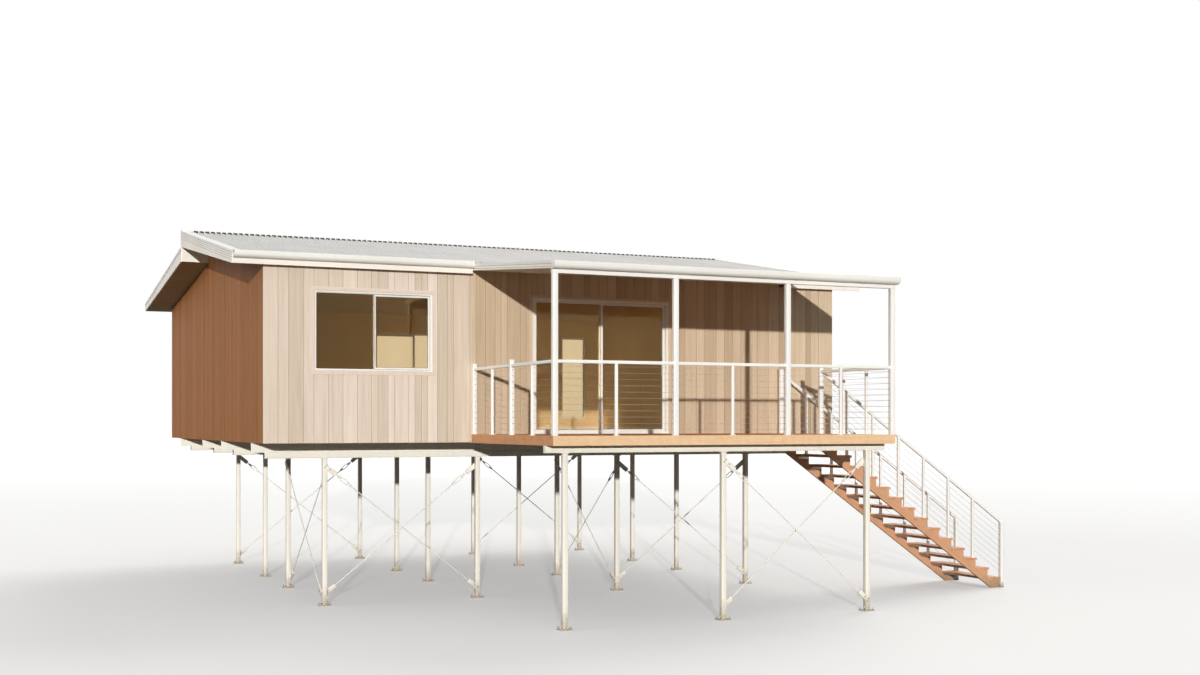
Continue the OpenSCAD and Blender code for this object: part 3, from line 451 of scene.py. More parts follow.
# %% Make the timbers
cladding_pale = timber_material("cladding_pale", (245, 231, 219), (205, 187, 165),
                                streak=0.045, share=0.38, joint=0.55)
cladding_tan = timber_material("cladding_tan", (226, 206, 180), (188, 164, 136),
                               streak=0.045, share=0.4, joint=0.6)
cladding_brown = timber_material("cladding_brown", (183, 124, 74), (142, 90, 50), share=0.6)
trim_timber = timber_material("trim_timber", (236, 220, 208), (222, 203, 188),
                              streak=0.03, share=0.6)
lining_brown = timber_material("lining_brown", (188, 172, 144), (148, 134, 112), GRAIN_ALONG_X,
                               streak=0.05, share=0.7, runs=0.0)
rafter_timber = timber_material("rafter_timber", (196, 168, 128), (160, 130, 92), GRAIN_ALONG_Y,
                                share=0.6, runs=0.0)
floor_timber = timber_material("floor_timber", (206, 168, 122), (164, 126, 86), GRAIN_ALONG_X,
                               streak=0.03, share=0.4, runs=0.0, gloss=0.3)
deck_timber = timber_material("deck_timber", (202, 144, 100), (160, 106, 68), GRAIN_ALONG_X,
                              runs=0.1, worn=0.6, gloss=0.1)
# The front fascia's timber is a paler copy of the side fascias' timber: painted sunlight on the
# face turned to the sun.
sunlit_fascia_timber = timber_material("sunlit_fascia_timber", (240, 204, 164), (218, 174, 132), GRAIN_ALONG_X,
                                share=0.6, runs=0.1, worn=0.4)
deck_side_timber = timber_material("deck_side_timber", (214, 158, 116), (178, 122, 84),
                                   GRAIN_ALONG_Y, runs=0.1, worn=0.6, gloss=0.1)
deck_frame_timber = timber_material("deck_frame_timber", (150, 112, 80), (108, 76, 52),
                                    GRAIN_ALONG_Y, share=0.6, runs=0.3)
stair_timber = timber_material("stair_timber", (222, 172, 136), (188, 134, 100),
                               GRAIN_DOWN_STAIR, streak=0.018, share=0.6, runs=0.2, worn=0.5,
                               splash=0.25, gloss=0.08)
tread_timber = timber_material("tread_timber", (214, 160, 120), (178, 122, 86), GRAIN_ALONG_Y,
                               streak=0.018, runs=0.1, worn=0.8, splash=0.2, gloss=0.08)
print("materials so far:", len(bpy.data.materials))

# %% [markdown]
# ## Paint, metal, glass and rubber
# Coated steel and aluminium are pale, a little uneven and slightly orange-skinned. The roofing
# comes in sheets 768 mm wide, each a touch lighter or darker than the next, with faint streaks of
# dirt down the slope.
# The glass is a clear solid with a faint warm tint, and its reflections carry a warm tint as well,
# a painted reflection of warm surroundings. Light Path lets most of the light through its shadow,
# so that the room behind it is lit.

# %% Make the painted and galvanised finishes


def painted(place, colour, grain):
    """A colour under the clouds of a paint's skin, its shade and its height."""
    skin = use_group(paint_skin, {"Vector": place, "Grain Size": grain})
    return blend(1.0, colour, skin["Shade"], "MULTIPLY"), skin["Shade"], skin["Height"]


def coated_material(name, colour, rough, runs, splash=0.0):
    """Powder coat or gloss coat on metal."""
    material, shader, place = new_material(name)
    tint, shade, height = painted(place, srgb(*colour), 0.0018)
    tint = lay_over(tint, rain_runs, place, runs, srgb(*colour, 0.72))
    # Where a mesh marks grooves, as on the barge boards' folds, the colour is halved: painted shade
    # in the folds.
    tint = blend(times(mesh_value(place, "groove"), 0.6), tint, srgb(*colour, 0.5))
    if splash:
        tint = lay_over(tint, soil_splash, place, splash, srgb(158, 138, 112))
    feed(shader, {"Base Color": tint, "Normal": bump(height, 0.00012),
                  "Roughness": remap(shade, 0.95, 1.03, rough + 0.08, rough - 0.04)})
    return material


def zinc_material(name, colour, rough):
    """Zinc on steel, with its flowers."""
    material, shader, place = new_material(name)
    cells = put("ShaderNodeTexVoronoi", {"Vector": place, "Scale": 90.0}).outputs["Color"]
    grey = put("ShaderNodeSeparateColor", {0: cells}).outputs[0]
    tint = blend(grey, srgb(*colour), srgb(*colour, 0.84))
    tint = lay_over(tint, rain_runs, place, 0.25, srgb(150, 146, 138))
    feed(shader, {"Base Color": tint, "Metallic": 0.9, "Normal": bump(grey, 0.0001),
                  "Roughness": remap(grey, 0, 1, rough - 0.06, rough + 0.12)})
    return material


def plaster_material(name, colour):
    """Rolled matt paint on sheet lining."""
    material, shader, place = new_material(name)
    tint, shade, height = painted(place, srgb(*colour), 0.004)
    feed(shader, {"Base Color": tint, "Roughness": remap(shade, 0.95, 1.03, 0.9, 0.78),
                  "Normal": bump(height, 0.0003)})
    return material


steel_cream = coated_material("steel_cream", (250, 246, 235), 0.45, 0.2, splash=0.30)
rail_white = coated_material("rail_white", (250, 250, 247), 0.38, 0.08, splash=0.12)
trim_white = coated_material("trim_white", (250, 245, 237), 0.40, 0.2)
gutter_white = coated_material("gutter_white", (242, 241, 236), 0.40, 0.15)
capping_white = coated_material("capping_white", (236, 236, 234), 0.36, 0.25)
window_white = coated_material("window_white", (244, 241, 234), 0.36, 0.05)
joist_zinc = zinc_material("joist_zinc", (196, 198, 198), 0.45)
bright_zinc = zinc_material("bright_zinc", (214, 215, 214), 0.32)
wire_steel = zinc_material("wire_steel", (226, 224, 218), 0.28)
ceiling_pale = plaster_material("ceiling_pale", (214, 208, 196))
wall_lining = plaster_material("wall_lining", (238, 212, 168))
print("materials so far:", len(bpy.data.materials))

# %% Make the roofing, the glass and the rubber
SHEET_W = 0.768

roofing, shader, place = new_material("roofing")
across = put("ShaderNodeSeparateXYZ", {0: place}).outputs["X"]
sheet = maths("FLOOR", maths("DIVIDE", across, SHEET_W))
tone = put("ShaderNodeTexWhiteNoise", {"W": sheet}, noise_dimensions="1D").outputs["Value"]
tint = blend(tone, srgb(214, 213, 212), srgb(207, 206, 206))
lines = stretched_noise(place, (24, 0.8, 0.8), 4.0)
tint = blend(times(remap(lines, 0.45, 0.75), 0.18), tint, srgb(182, 179, 173))
tint, shade, height = painted(place, tint, 0.002)
feed(shader, {"Base Color": tint, "Roughness": remap(lines, 0.3, 0.7, 0.46, 0.62),
              "Specular IOR Level": 0.3, "Normal": bump(height, 0.00015)})

clear_glass, shader, place = new_material("clear_glass")
film = stretched_noise(place, (2.0, 2.0, 0.8), 4.0)
shadow_ray = put("ShaderNodeLightPath", tree=clear_glass.node_tree).outputs["Is Shadow Ray"]
# The warm Specular Tint is a painted reflection: it warms what the glass reflects, standing in for
# warm surroundings.
feed(shader, {"Base Color": blend(film, (0.88, 0.77, 0.58, 1), (0.80, 0.68, 0.50, 1)),
              "Roughness": remap(film, 0.3, 0.8, 0.0, 0.035), "Metallic": 0.0, "IOR": 1.5,
              "Transmission Weight": 1.0, "Specular Tint": (0.90, 0.66, 0.36, 1),
              "Alpha": remap(shadow_ray, 0, 1, 1.0, 0.12)})

# This dark material serves real rubber gaskets, and also dark strips and closures that are painted
# shade.
dark_rubber_and_shade, shader, place = new_material("dark_rubber_and_shade")
dust = stretched_noise(place, (60, 60, 60), 4.0)
dusty = remap(dust, 0.4, 0.8, 0, 0.5)
feed(shader, {"Base Color": blend(dusty, srgb(34, 33, 32), srgb(96, 92, 86)),
              "Roughness": remap(dust, 0.3, 0.7, 0.5, 0.8)})
print("materials:", len(bpy.data.materials))

# %% [markdown]
# ## Tools for meshes
# Most pieces are bars, boards and folded sheets: a closed outline carried along a line. One
# function makes the skin between outlines, and the others draw outlines for it. A piece is drawn
# in the house's coordinates and moved into the frame only when it is finished, so its object stays
# at the origin.

# %% Make skins, prisms and blocks


def add_skin(bm, sections, closed=False):
    """A closed skin through outlines of equally many points; closed joins the last to the first."""
    rows = [[bm.verts.new(point) for point in section] for section in sections]
    pairs = list(zip(rows, rows[1:]))
    if closed:
        pairs.append((rows[-1], rows[0]))
    else:
        bm.faces.new(rows[0])
        bm.faces.new(rows[-1][::-1])
    for near, far in pairs:
        for i in range(len(near)):
            bm.faces.new((near[i], near[i - 1], far[i - 1], far[i]))
    return [vert for row in rows for vert in row]


def add_prism(bm, outline, offset):
    """A prism from an outline to the same outline moved by an offset."""
    add_skin(bm, [outline, [Vector(point) + Vector(offset) for point in outline]])


def add_plan(bm, low, high, outline):
    """An outline on plan, raised from one height to another."""
    add_prism(bm, [(x, y, low) for x, y in outline], (0, 0, high - low))


def add_section(bm, x0, x1, outline):
    """An outline of places across the house and heights, carried along the house."""
    add_prism(bm, [(x0, y, z) for y, z in outline], (x1 - x0, 0, 0))


def add_block(bm, low, high):
    """A box between two corners."""
    add_plan(bm, low[2], high[2],
             [(low[0], low[1]), (high[0], low[1]), (high[0], high[1]), (low[0], high[1])])


def sloping_sheet(line, y0, y1, upper, lower):
    """Outline of a sheet that lies between two distances from one of the roof's lines."""
    return [(y0, line(y0) + upper), (y1, line(y1) + upper),
            (y1, line(y1) + lower), (y0, line(y0) + lower)]


print("mesh tools: skin, prism, plan, section and block")

# %% Make bars and posts


def rounded_outline(width, height, radius, steps=2):
    """Points of a rectangle about zero whose corners are rounded."""
    points = []
    for side, (x, y) in enumerate(((1, 1), (-1, 1), (-1, -1), (1, -1))):
        for step in range(steps + 1):
            angle = math.radians(90 * side + 90 * step / steps)
            points.append((x * (width / 2 - radius) + radius * math.cos(angle),
                           y * (height / 2 - radius) + radius * math.sin(angle)))
    return points


def add_bar(bm, start, end, width, height, radius=0.004, up=UP, steps=2, taper=1.0):
    """A straight bar with rounded corners; height is measured along up."""
    start, end = Vector(start), Vector(end)
    along = (end - start).normalized()
    side = along.cross(Vector(up)).normalized()
    top = side.cross(along)
    outline = rounded_outline(width, height, radius, steps)
    near = [start + side * u + top * v for u, v in outline]
    far = [end + side * u * taper + top * v * taper for u, v in outline]
    add_skin(bm, [near, far])


def add_post(bm, x, y, low, high, width, radius=0.006, taper=1.0):
    """An upright square tube."""
    add_bar(bm, (x, y, low), (x, y, high), width, width, radius, (0, 1, 0), taper=taper)


print("bar tools: outline, bar and post")

# %% [markdown]
# ## Finishing a piece
# Each piece gets its material, eased or sharp edges and the body that it rides on, and the CAD
# nodes that it stands for are hidden. The slot of the record that its finish comes from is worked
# out but not kept. Most materials are named for their slot, and a table gives the slots of
# the others.

# %% Turn a drawing into a piece
SLOTS = {
    "window_white": "window_aluminium", "dark_rubber_and_shade": "window_aluminium", "clear_glass": "glass",
    "trim_timber": "cladding_pale", "wall_lining": "ceiling_pale", "capping_white": "roofing",
    "gutter_white": "trim_white", "bright_zinc": "galvanised", "wire_steel": "galvanised",
    "sunlit_fascia_timber": "deck_timber", "deck_side_timber": "deck_timber",
    "tread_timber": "stair_timber",
}


def slot_of(material):
    """The record's slot for a material, whose name may end in a number that Blender added."""
    name = material.name.split(".")[0]
    return SLOTS.get(name, name)


def dress_mesh(name, mesh, material, stands_for=(), slot=None, body="house", bevel=0.0,
               smooth=38):
    """Gives a mesh in the frame its object, material, edges and body; the slot is worked out but
    not kept.
    """
    slot = slot or slot_of(material)
    piece = add_object(name, mesh)
    if not mesh.materials:
        mesh.materials.append(material)
    if bevel:
        rounding = piece.modifiers.new("eased_edges", "BEVEL")
        rounding.width = bevel
        rounding.segments = 2
        rounding.limit_method = "ANGLE"
        rounding.angle_limit = math.radians(40)
    elif smooth:
        mesh.shade_smooth()
        mesh.set_sharp_from_angle(angle=math.radians(smooth))
    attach(piece, body)
    if stands_for:
        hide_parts(*stands_for)
    print(f"{name}: {len(mesh.polygons)} faces")


def close_mesh(name, bm, turn_out=True):
    """The mesh of a drawing, whose faces may first be turned outwards."""
    if turn_out:
        bmesh.ops.recalc_face_normals(bm, faces=bm.faces[:])
    mesh = bpy.data.meshes.new(name)
    bm.to_mesh(mesh)
    bm.free()
    return mesh


def finish_piece(name, bm, material, stands_for=(), **finish):
    """Turns a drawing in the house's coordinates into a piece."""
    mesh = close_mesh(name, bm)
    mesh.transform(Matrix.Translation(corner))
    dress_mesh(name, mesh, material, stands_for, **finish)


frame_meshes = {thing.name: thing.data for thing in bpy.data.objects
                if thing.name in frame["nodes"]}


def eased_copy(name, node, material, bevel):
    """A piece that stands for a CAD node, with its flat faces made whole and its edges eased."""
    bm = bmesh.new()
    bm.from_mesh(frame_meshes[node])
    bmesh.ops.remove_doubles(bm, verts=bm.verts[:], dist=0.00002)
    bmesh.ops.dissolve_limit(bm, angle_limit=math.radians(1), verts=bm.verts[:],
                             edges=bm.edges[:])
    dress_mesh(name, close_mesh(name, bm, False), material, [node], bevel=bevel)


print("CAD nodes found:", len(frame_meshes))

# %% [markdown]
# ## Trees for what repeats
# Screws, wires and boards repeat hundreds of times. Three Geometry Nodes trees make them: one puts
# a head and a washer on points, turned to the direction each point faces, one turns edges into
# taut wires, and one sets copies of a board at even steps and gives each a tone from a fixed seed.

# %% Build the Geometry Nodes trees


def new_geometry_tree(name, inputs):
    """A tree that takes and gives geometry; gives the tree, its inputs and its output node."""
    inputs = {"Geometry": ("Geometry", None), **inputs, "Material": ("Material", None)}
    group, entry, leave = new_tree(name, "GeometryNodeTree", inputs, {"Geometry": "Geometry"})
    group.is_modifier = True
    return group, entry, leave


def end_tree(entry, leave, geometry):
    """Ends a tree in Realize Instances and Set Material."""
    whole = put("GeometryNodeRealizeInstances", {"Geometry": geometry}).outputs[0]
    coated = put("GeometryNodeSetMaterial", {"Geometry": whole, "Material": entry["Material"]})
    feed(leave, {"Geometry": coated.outputs[0]})


def short_cylinder(sides, diameter, height, foot):
    """A short upright cylinder whose lower end is at a height."""
    values = {"Vertices": sides, "Radius": times(diameter, 0.5), "Depth": height}
    mesh = put("GeometryNodeMeshCylinder", values).outputs["Mesh"]
    middle = plus(foot, times(height, 0.5))
    lift = put("ShaderNodeCombineXYZ", {"Z": middle}).outputs[0]
    return put("GeometryNodeTransform", {"Geometry": mesh, "Translation": lift}).outputs[0]


fasteners, entry, leave = new_geometry_tree("fasteners", {
    "Head Diameter": ("Float", 0.016), "Head Height": ("Float", 0.006), "Sides": ("Int", 6),
    "Washer Diameter": ("Float", 0.022), "Washer Height": ("Float", 0.002)})
joined = put("GeometryNodeJoinGeometry", tree=fasteners)
feed(joined, {0: short_cylinder(entry["Sides"], entry["Head Diameter"], entry["Head Height"],
                                entry["Washer Height"])})
feed(joined, {0: short_cylinder(12, entry["Washer Diameter"], entry["Washer Height"], 0.0)})
facing = put("GeometryNodeInputNamedAttribute", {"Name": "facing"}, fasteners,
             data_type="FLOAT_VECTOR").outputs["Attribute"]
turned = put("FunctionNodeAlignRotationToVector", {"Vector": facing}, axis="Z").outputs[0]
placed = put("GeometryNodeInstanceOnPoints", {
    "Points": entry["Geometry"], "Instance": joined.outputs[0], "Rotation": turned})
end_tree(entry, leave, placed.outputs[0])

taut_wires, entry, leave = new_geometry_tree("taut_wires", {
    "Diameter": ("Float", 0.004), "Sides": ("Int", 8)})
lines = put("GeometryNodeMeshToCurve", {"Mesh": entry["Geometry"]}).outputs[0]
ring = put("GeometryNodeCurvePrimitiveCircle", {
    "Resolution": entry["Sides"], "Radius": times(entry["Diameter"], 0.5)}).outputs[0]
tubes = put("GeometryNodeCurveToMesh", {"Curve": lines, "Profile Curve": ring, "Fill Caps": True})
end_tree(entry, leave, tubes.outputs[0])

repeated_boards, entry, leave = new_geometry_tree("repeated_boards", {
    "Count": ("Int", 10), "Step": ("Vector", (0, 0.1, 0)), "Seed": ("Int", 1)})
spots = put("GeometryNodeMeshLine", {"Count": entry["Count"], "Offset": entry["Step"]},
            mode="OFFSET").outputs[0]
chance = put("FunctionNodeRandomValue", {"Seed": entry["Seed"]}, data_type="FLOAT").outputs[1]
toned = put("GeometryNodeStoreNamedAttribute",
            {"Geometry": spots, "Name": "tone", "Value": chance},
            data_type="FLOAT", domain="POINT").outputs[0]
copies = put("GeometryNodeInstanceOnPoints", {"Points": toned, "Instance": entry["Geometry"]})
end_tree(entry, leave, copies.outputs[0])
print("trees:", [g.name for g in bpy.data.node_groups if g.bl_idname == "GeometryNodeTree"])

# %% Run a tree and keep its result


def grow_piece(name, source, tree, values, material, stands_for=(), **finish):
    """Runs a tree on a source mesh in the house's coordinates and keeps the result as a piece."""
    holder = add_object(name + "_source", source)
    modifier = holder.modifiers.new("repeat", "NODES")
    modifier.node_group = tree
    sockets = {item.name: item.identifier for item in tree.interface.items_tree
               if item.in_out == "INPUT"}
    for label, value in {**values, "Material": material}.items():
        modifier[sockets[label]] = value
    depsgraph = bpy.context.evaluated_depsgraph_get()
    mesh = bpy.data.meshes.new_from_object(holder.evaluated_get(depsgraph),
                                           preserve_all_data_layers=True, depsgraph=depsgraph)
    bpy.data.objects.remove(holder)
    mesh.name = name
    mesh.transform(Matrix.Translation(corner))
    dress_mesh(name, mesh, material, stands_for, **finish)


def repeat_piece(name, bm, count, step, seed, material, stands_for=(), turn_out=True, **finish):
    """One drawn piece repeated at even steps."""
    grow_piece(name, close_mesh(name, bm, turn_out), repeated_boards,
               {"Count": count, "Step": step, "Seed": seed}, material, stands_for, **finish)


def add_wires(name, paths, diameter, sides, material):
    """Taut wires or rods along open paths, each a list of points."""
    verts, edges = [], []
    for path in paths:
        edges += [(len(verts) + i, len(verts) + i + 1) for i in range(len(path) - 1)]
        verts += [tuple(point) for point in path]
    mesh = bpy.data.meshes.new(name)
    mesh.from_pydata(verts, edges, [])
    grow_piece(name, mesh, taut_wires, {"Diameter": diameter, "Sides": sides}, material, smooth=60)


def add_fasteners(name, places, diameter, height, washer, material=bright_zinc, sides=6,
                  slot=None):
    """Bolt or screw heads, each with a washer, on places with directions."""
    mesh = bpy.data.meshes.new(name)
    mesh.from_pydata([place for place, _ in places], [], [])
    facing = mesh.attributes.new("facing", "FLOAT_VECTOR", "POINT")
    facing.data.foreach_set("vector", [value for _, way in places for value in way])
    values = {"Head Diameter": diameter, "Head Height": height, "Sides": sides,
              "Washer Diameter": washer, "Washer Height": height * 0.3}
    grow_piece(name, mesh, fasteners, values, material, slot=slot, smooth=30)


print("tools that run the trees: boards, wires and fasteners")

# %% [markdown]
# ## Vertical cladding
# The front is clad in upright boards of three widths, picked at random, with a narrow groove at
# every joint. The gables have narrower grooved boards at an even pitch. Each board is a closed
# strip with chamfered edges. A wall is a list of strips along a line; a strip is cut where a
# window, a door or the ridge crosses it, and its top follows the lining of the roof.

# %% Describe the boards of a wall
GROOVE_HALF, GROOVE_FLOOR_HALF, GROOVE_DEPTH = 0.0035, 0.0015, 0.007
SILL_H, HEAD_H = 1.060, 2.246
DOOR_LEFT, DOOR_RIGHT, DOOR_HEAD = 4.170, 6.550, 2.254
DOOR_HOLE = (DOOR_LEFT, DOOR_RIGHT, -1.0, DOOR_HEAD)
FRONT_WINDOW = (0.746, 2.548, SILL_H, HEAD_H)
BACK_WINDOWS = [FRONT_WINDOW, (4.200, 6.002, SILL_H, HEAD_H), (8.550, 9.150, 0.396, HEAD_H)]


def board_joints(start, end, seed):
    """Places of the joints between boards of mixed widths, from start to end."""
    widths = (0.100, 0.155, 0.215)
    chance = random.Random(seed)
    joints = [start]
    while end - joints[-1] > max(widths) + min(widths):
        joints.append(joints[-1] + chance.choice(widths))
    return joints + [end]


def spans_beside(low, holes, place):
    """The heights left at a place beside the holes; infinity stands for the wall's top."""
    spans = [(low, math.inf)]
    for left, right, foot, head in holes:
        if left < place < right:
            spans = [part for a, b in spans for part in ((a, min(b, foot)), (max(a, head), b))]
            spans = [(a, b) for a, b in spans if b - a > 0.002]
    return spans


def board_edge(place, turn, mitred, grooved, outer, inner):
    """One edge of a strip on plan, from the inner face to the outer; turn points into the strip."""
    if mitred:
        return [(place + turn * inner, inner), (place + turn * outer, outer)]
    if grooved:
        floor, lip = place + turn * GROOVE_FLOOR_HALF, place + turn * GROOVE_HALF
        return [(place, inner), (place, GROOVE_DEPTH), (floor, GROOVE_DEPTH), (lip, outer)]
    return [(place, inner), (place, outer)]


def point_values(bm, name):
    """The attribute of a drawing's points with a name."""
    return bm.verts.layers.float.get(name) or bm.verts.layers.float.new(name)


def height_on_wall(level, top, *where):
    """A level on a wall; infinity stands for its top, a height or a function of the place."""
    if level < math.inf:
        return level
    return top(*where) if callable(top) else top


def add_boards(bm, wall, joints, holes, top, mitres=(False, False), outer=0.0, inner=CLADDING_T,
               grooved=True, seed=1, cuts=(), low=0.0):
    """Boards along a wall, each cut where a hole or a cut crosses it, from low up to the top."""
    tone, groove = point_values(bm, "tone"), point_values(bm, "groove")
    origin, along, inward = (Vector(value) for value in wall)
    chance = random.Random(seed)
    edges = {edge for hole in holes for edge in hole[:2]} | set(cuts)
    for start, end in zip(joints, joints[1:]):
        value = chance.random()
        marks = sorted({start, end} | {edge for edge in edges if start < edge < end})
        for left, right in zip(marks, marks[1:]):
            plan = board_edge(left, 1, mitres[0] and left == joints[0],
                              grooved and left == start, outer, inner)
            plan += board_edge(right, -1, mitres[1] and right == joints[-1],
                               grooved and right == end, outer, inner)[::-1]
            middle = (left + right) / 2
            for span in spans_beside(low, holes, middle):
                rows = [[origin + along * s + inward * d
                         + Vector((0, 0, height_on_wall(level, top, s, d, middle)))
                         for s, d in plan] for level in span]
                for i, vert in enumerate(add_skin(bm, rows)):
                    depth = plan[i % len(plan)][1]
                    vert[tone] = value
                    vert[groove] = float(grooved and outer < depth <= GROOVE_DEPTH)


print("front window:", FRONT_WINDOW, "door:", DOOR_HOLE)

# %% Clad the walls
LINING_GAP, GABLE_BOARDS = 0.0004, 71
FRONT = ((0, 0, 0), (1, 0, 0), (0, 1, 0))
BACK = ((0, HOUSE_D, 0), (1, 0, 0), (0, -1, 0))
LEFT = ((0, 0, 0), (0, 1, 0), (1, 0, 0))
RIGHT = ((HOUSE_L, 0, 0), (0, 1, 0), (-1, 0, 0))
front_wall_top = front_soffit(0) - LINING_GAP


def gable_top(s, d, middle):
    """The lining's height over a gable, on the side of the step board that a strip stands."""
    return (front_soffit(s) if middle < STEP_Y else back_soffit(s)) - LINING_GAP


bm = bmesh.new()
add_boards(bm, FRONT, board_joints(0, PALE_L, 5), [FRONT_WINDOW], front_wall_top, (True, False),
           seed=11)
finish_piece("cladding_front_pale", bm, cladding_pale, ["front_wall_left"], smooth=0)
bm = bmesh.new()
add_boards(bm, FRONT, board_joints(PALE_L, DECK_END, 8), [DOOR_HOLE], verandah_top(0) - 0.0275,
           seed=21)
add_boards(bm, FRONT, board_joints(DECK_END, HOUSE_L, 3), [], front_wall_top, (False, True),
           seed=22)
finish_piece("cladding_front_tan", bm, cladding_tan,
             ["front_wall_middle", "door_head_wall", "front_wall_right"], smooth=0)
bm = bmesh.new()
add_boards(bm, BACK, board_joints(0, HOUSE_L, 13), BACK_WINDOWS, back_soffit(HOUSE_D) - LINING_GAP,
           (True, True), seed=31)
finish_piece("cladding_back", bm, cladding_pale, ["back_wall"], smooth=0)
gable_joints = [HOUSE_D * i / GABLE_BOARDS for i in range(GABLE_BOARDS + 1)]
for side, wall, seed in (("left", LEFT, 41), ("right", RIGHT, 42)):
    bm = bmesh.new()
    add_boards(bm, wall, gable_joints, [], gable_top, (True, True), seed=seed, cuts=(STEP_Y,))
    finish_piece(f"cladding_{side}_gable", bm, cladding_brown, [f"{side}_gable_wall"], smooth=0)

# %% [markdown]
# ## Inside of the walls
# Behind the boards a wall has its studs and its lining. Through the glass only the lining's pale
# face shows, and the thickness of the wall at each opening, so one plain layer stands for both.

# %% Line the walls and the ceiling
bm = bmesh.new()
for wall, holes, length, top, cuts in (
        (FRONT, [FRONT_WINDOW, DOOR_HOLE], HOUSE_L,
         lambda s, d, middle: front_soffit(d) - LINING_GAP, ()),
        (BACK, BACK_WINDOWS, HOUSE_L,
         lambda s, d, middle: back_soffit(HOUSE_D - d) - LINING_GAP, ()),
        (LEFT, [], HOUSE_D, gable_top, (STEP_Y,)), (RIGHT, [], HOUSE_D, gable_top, (STEP_Y,))):
    add_boards(bm, wall, [0, length], holes, top, (True, True), CLADDING_T + 0.0002, WALL_T,
               grooved=False, cuts=cuts, low=FLOOR_H)
finish_piece("wall_linings", bm, wall_lining, smooth=0)

far_x, far_y = HOUSE_L - WALL_T, HOUSE_D - WALL_T
bm = bmesh.new()
for line, y0, y1 in ((front_soffit, WALL_T, STEP_Y - 0.001), (back_soffit, RIDGE_Y, far_y)):
    add_section(bm, WALL_T, far_x, sloping_sheet(line, y0, y1, -0.001, -0.011))
finish_piece("room_ceiling", bm, ceiling_pale, smooth=0)

SKIRTING_T, SKIRTING_H = 0.012, 0.09
bm = bmesh.new()
for x0, x1, y0, y1 in ((WALL_T, DOOR_LEFT - 0.05, WALL_T, WALL_T + SKIRTING_T),
                       (DOOR_RIGHT + 0.05, far_x, WALL_T, WALL_T + SKIRTING_T),
                       (WALL_T, far_x, far_y - SKIRTING_T, far_y),
                       (WALL_T, WALL_T + SKIRTING_T, WALL_T, far_y),
                       (far_x - SKIRTING_T, far_x, WALL_T, far_y)):
    add_block(bm, (x0, y0, FLOOR_H), (x1, y1, FLOOR_H + SKIRTING_H))
finish_piece("skirting_boards", bm, window_white, bevel=0.003)

# %% [markdown]
# ## Windows
# A window is a mitred aluminium frame, a fixed pane behind it and a sliding sash in front of the
# pane's right half. A frame is one outline of the section carried round the opening, so that its
# corners meet in true mitres. A timber trim covers the joint with the cladding, and a thin dark
# gasket holds each pane. A dark strip round the outer edge of each sash is painted shade: it stands
# for the shadow in the gap between the sash and the frame.

# %% Describe frames and blocks in an opening


def opening(left, right, sill, head, at_back=False):
    """An opening's left foot seen from outside, its directions, its width and its height."""
    size = (right - left, head - sill)
    if at_back:
        return Vector((right, HOUSE_D, sill)), Vector((-1, 0, 0)), Vector((0, -1, 0)), *size
    return Vector((left, 0, sill)), Vector((1, 0, 0)), Vector((0, 1, 0)), *size


def on_wall(place, s, d, z):
    """A point at a distance along, into and up from the foot of an opening."""
    origin, along, inward = place[:3]
    return origin + along * s + inward * d + Vector((0, 0, z))


def add_frame(bm, place, left, right, foot, head, profile, open_foot=False):
    """A mitred frame; the profile's points are insets from the frame's edge and depths."""
    lift = 0 if open_foot else 1
    corners = [(left, foot, 1, lift), (left, head, 1, -1), (right, head, -1, -1),
               (right, foot, -1, lift)]
    add_skin(bm, [[on_wall(place, s + turn * w, d, z + rise * w) for w, d in profile]
                  for s, z, turn, rise in corners], closed=not open_foot)


def add_wall_block(bm, place, s0, s1, d0, d1, z0, z1):
    """A block between two distances along, into and up a wall."""
    outline = [on_wall(place, s, d, z0) for s, d in ((s0, d0), (s1, d0), (s1, d1), (s0, d1))]
    add_prism(bm, outline, (0, 0, z1 - z0))


def add_wall_section(bm, place, s0, s1, profile):
    """A section of depths and heights carried along a wall."""
    add_prism(bm, [on_wall(place, s0, d, z) for d, z in profile], place[1] * (s1 - s0))


def strip_profile(w0, w1, d0, d1):
    """Section of a flat strip between two insets and two depths."""
    return [(w0, d0), (w1, d0), (w1, d1), (w0, d1)]


def trim_profile(width, lip):
    """Section of a trim that laps over the cladding and turns into the opening by a lip."""
    return [(-width, 0.001), (-width, -0.006), (0.002 - width, -0.008), (0.001, -0.008),
            (0.003, -0.006), (0.003, lip), (-0.001, lip), (-0.001, 0.001)]


print("frame tools: frame, block, section, strip and trim")

# %% Make the windows
FRAME_W, SASH_W, GASKET_W = 0.036, 0.028, 0.005
frame_profile = [(0, 0.012), (0.002, 0.010), (0.026, 0.010), (0.028, 0.012), (0.028, 0.028),
                 (FRAME_W, 0.030), (FRAME_W, 0.100), (0, 0.100)]
sash_profile = [(0, 0.031), (0.024, 0.031), (SASH_W, 0.035), (SASH_W, 0.065), (0, 0.065)]
sill_profile = [(-0.012, 0.004), (-0.012, 0.010), (0.0095, 0.020), (0.0095, 0.004)]
window_places = [opening(*FRONT_WINDOW)] + [opening(*hole, at_back=True) for hole in BACK_WINDOWS]

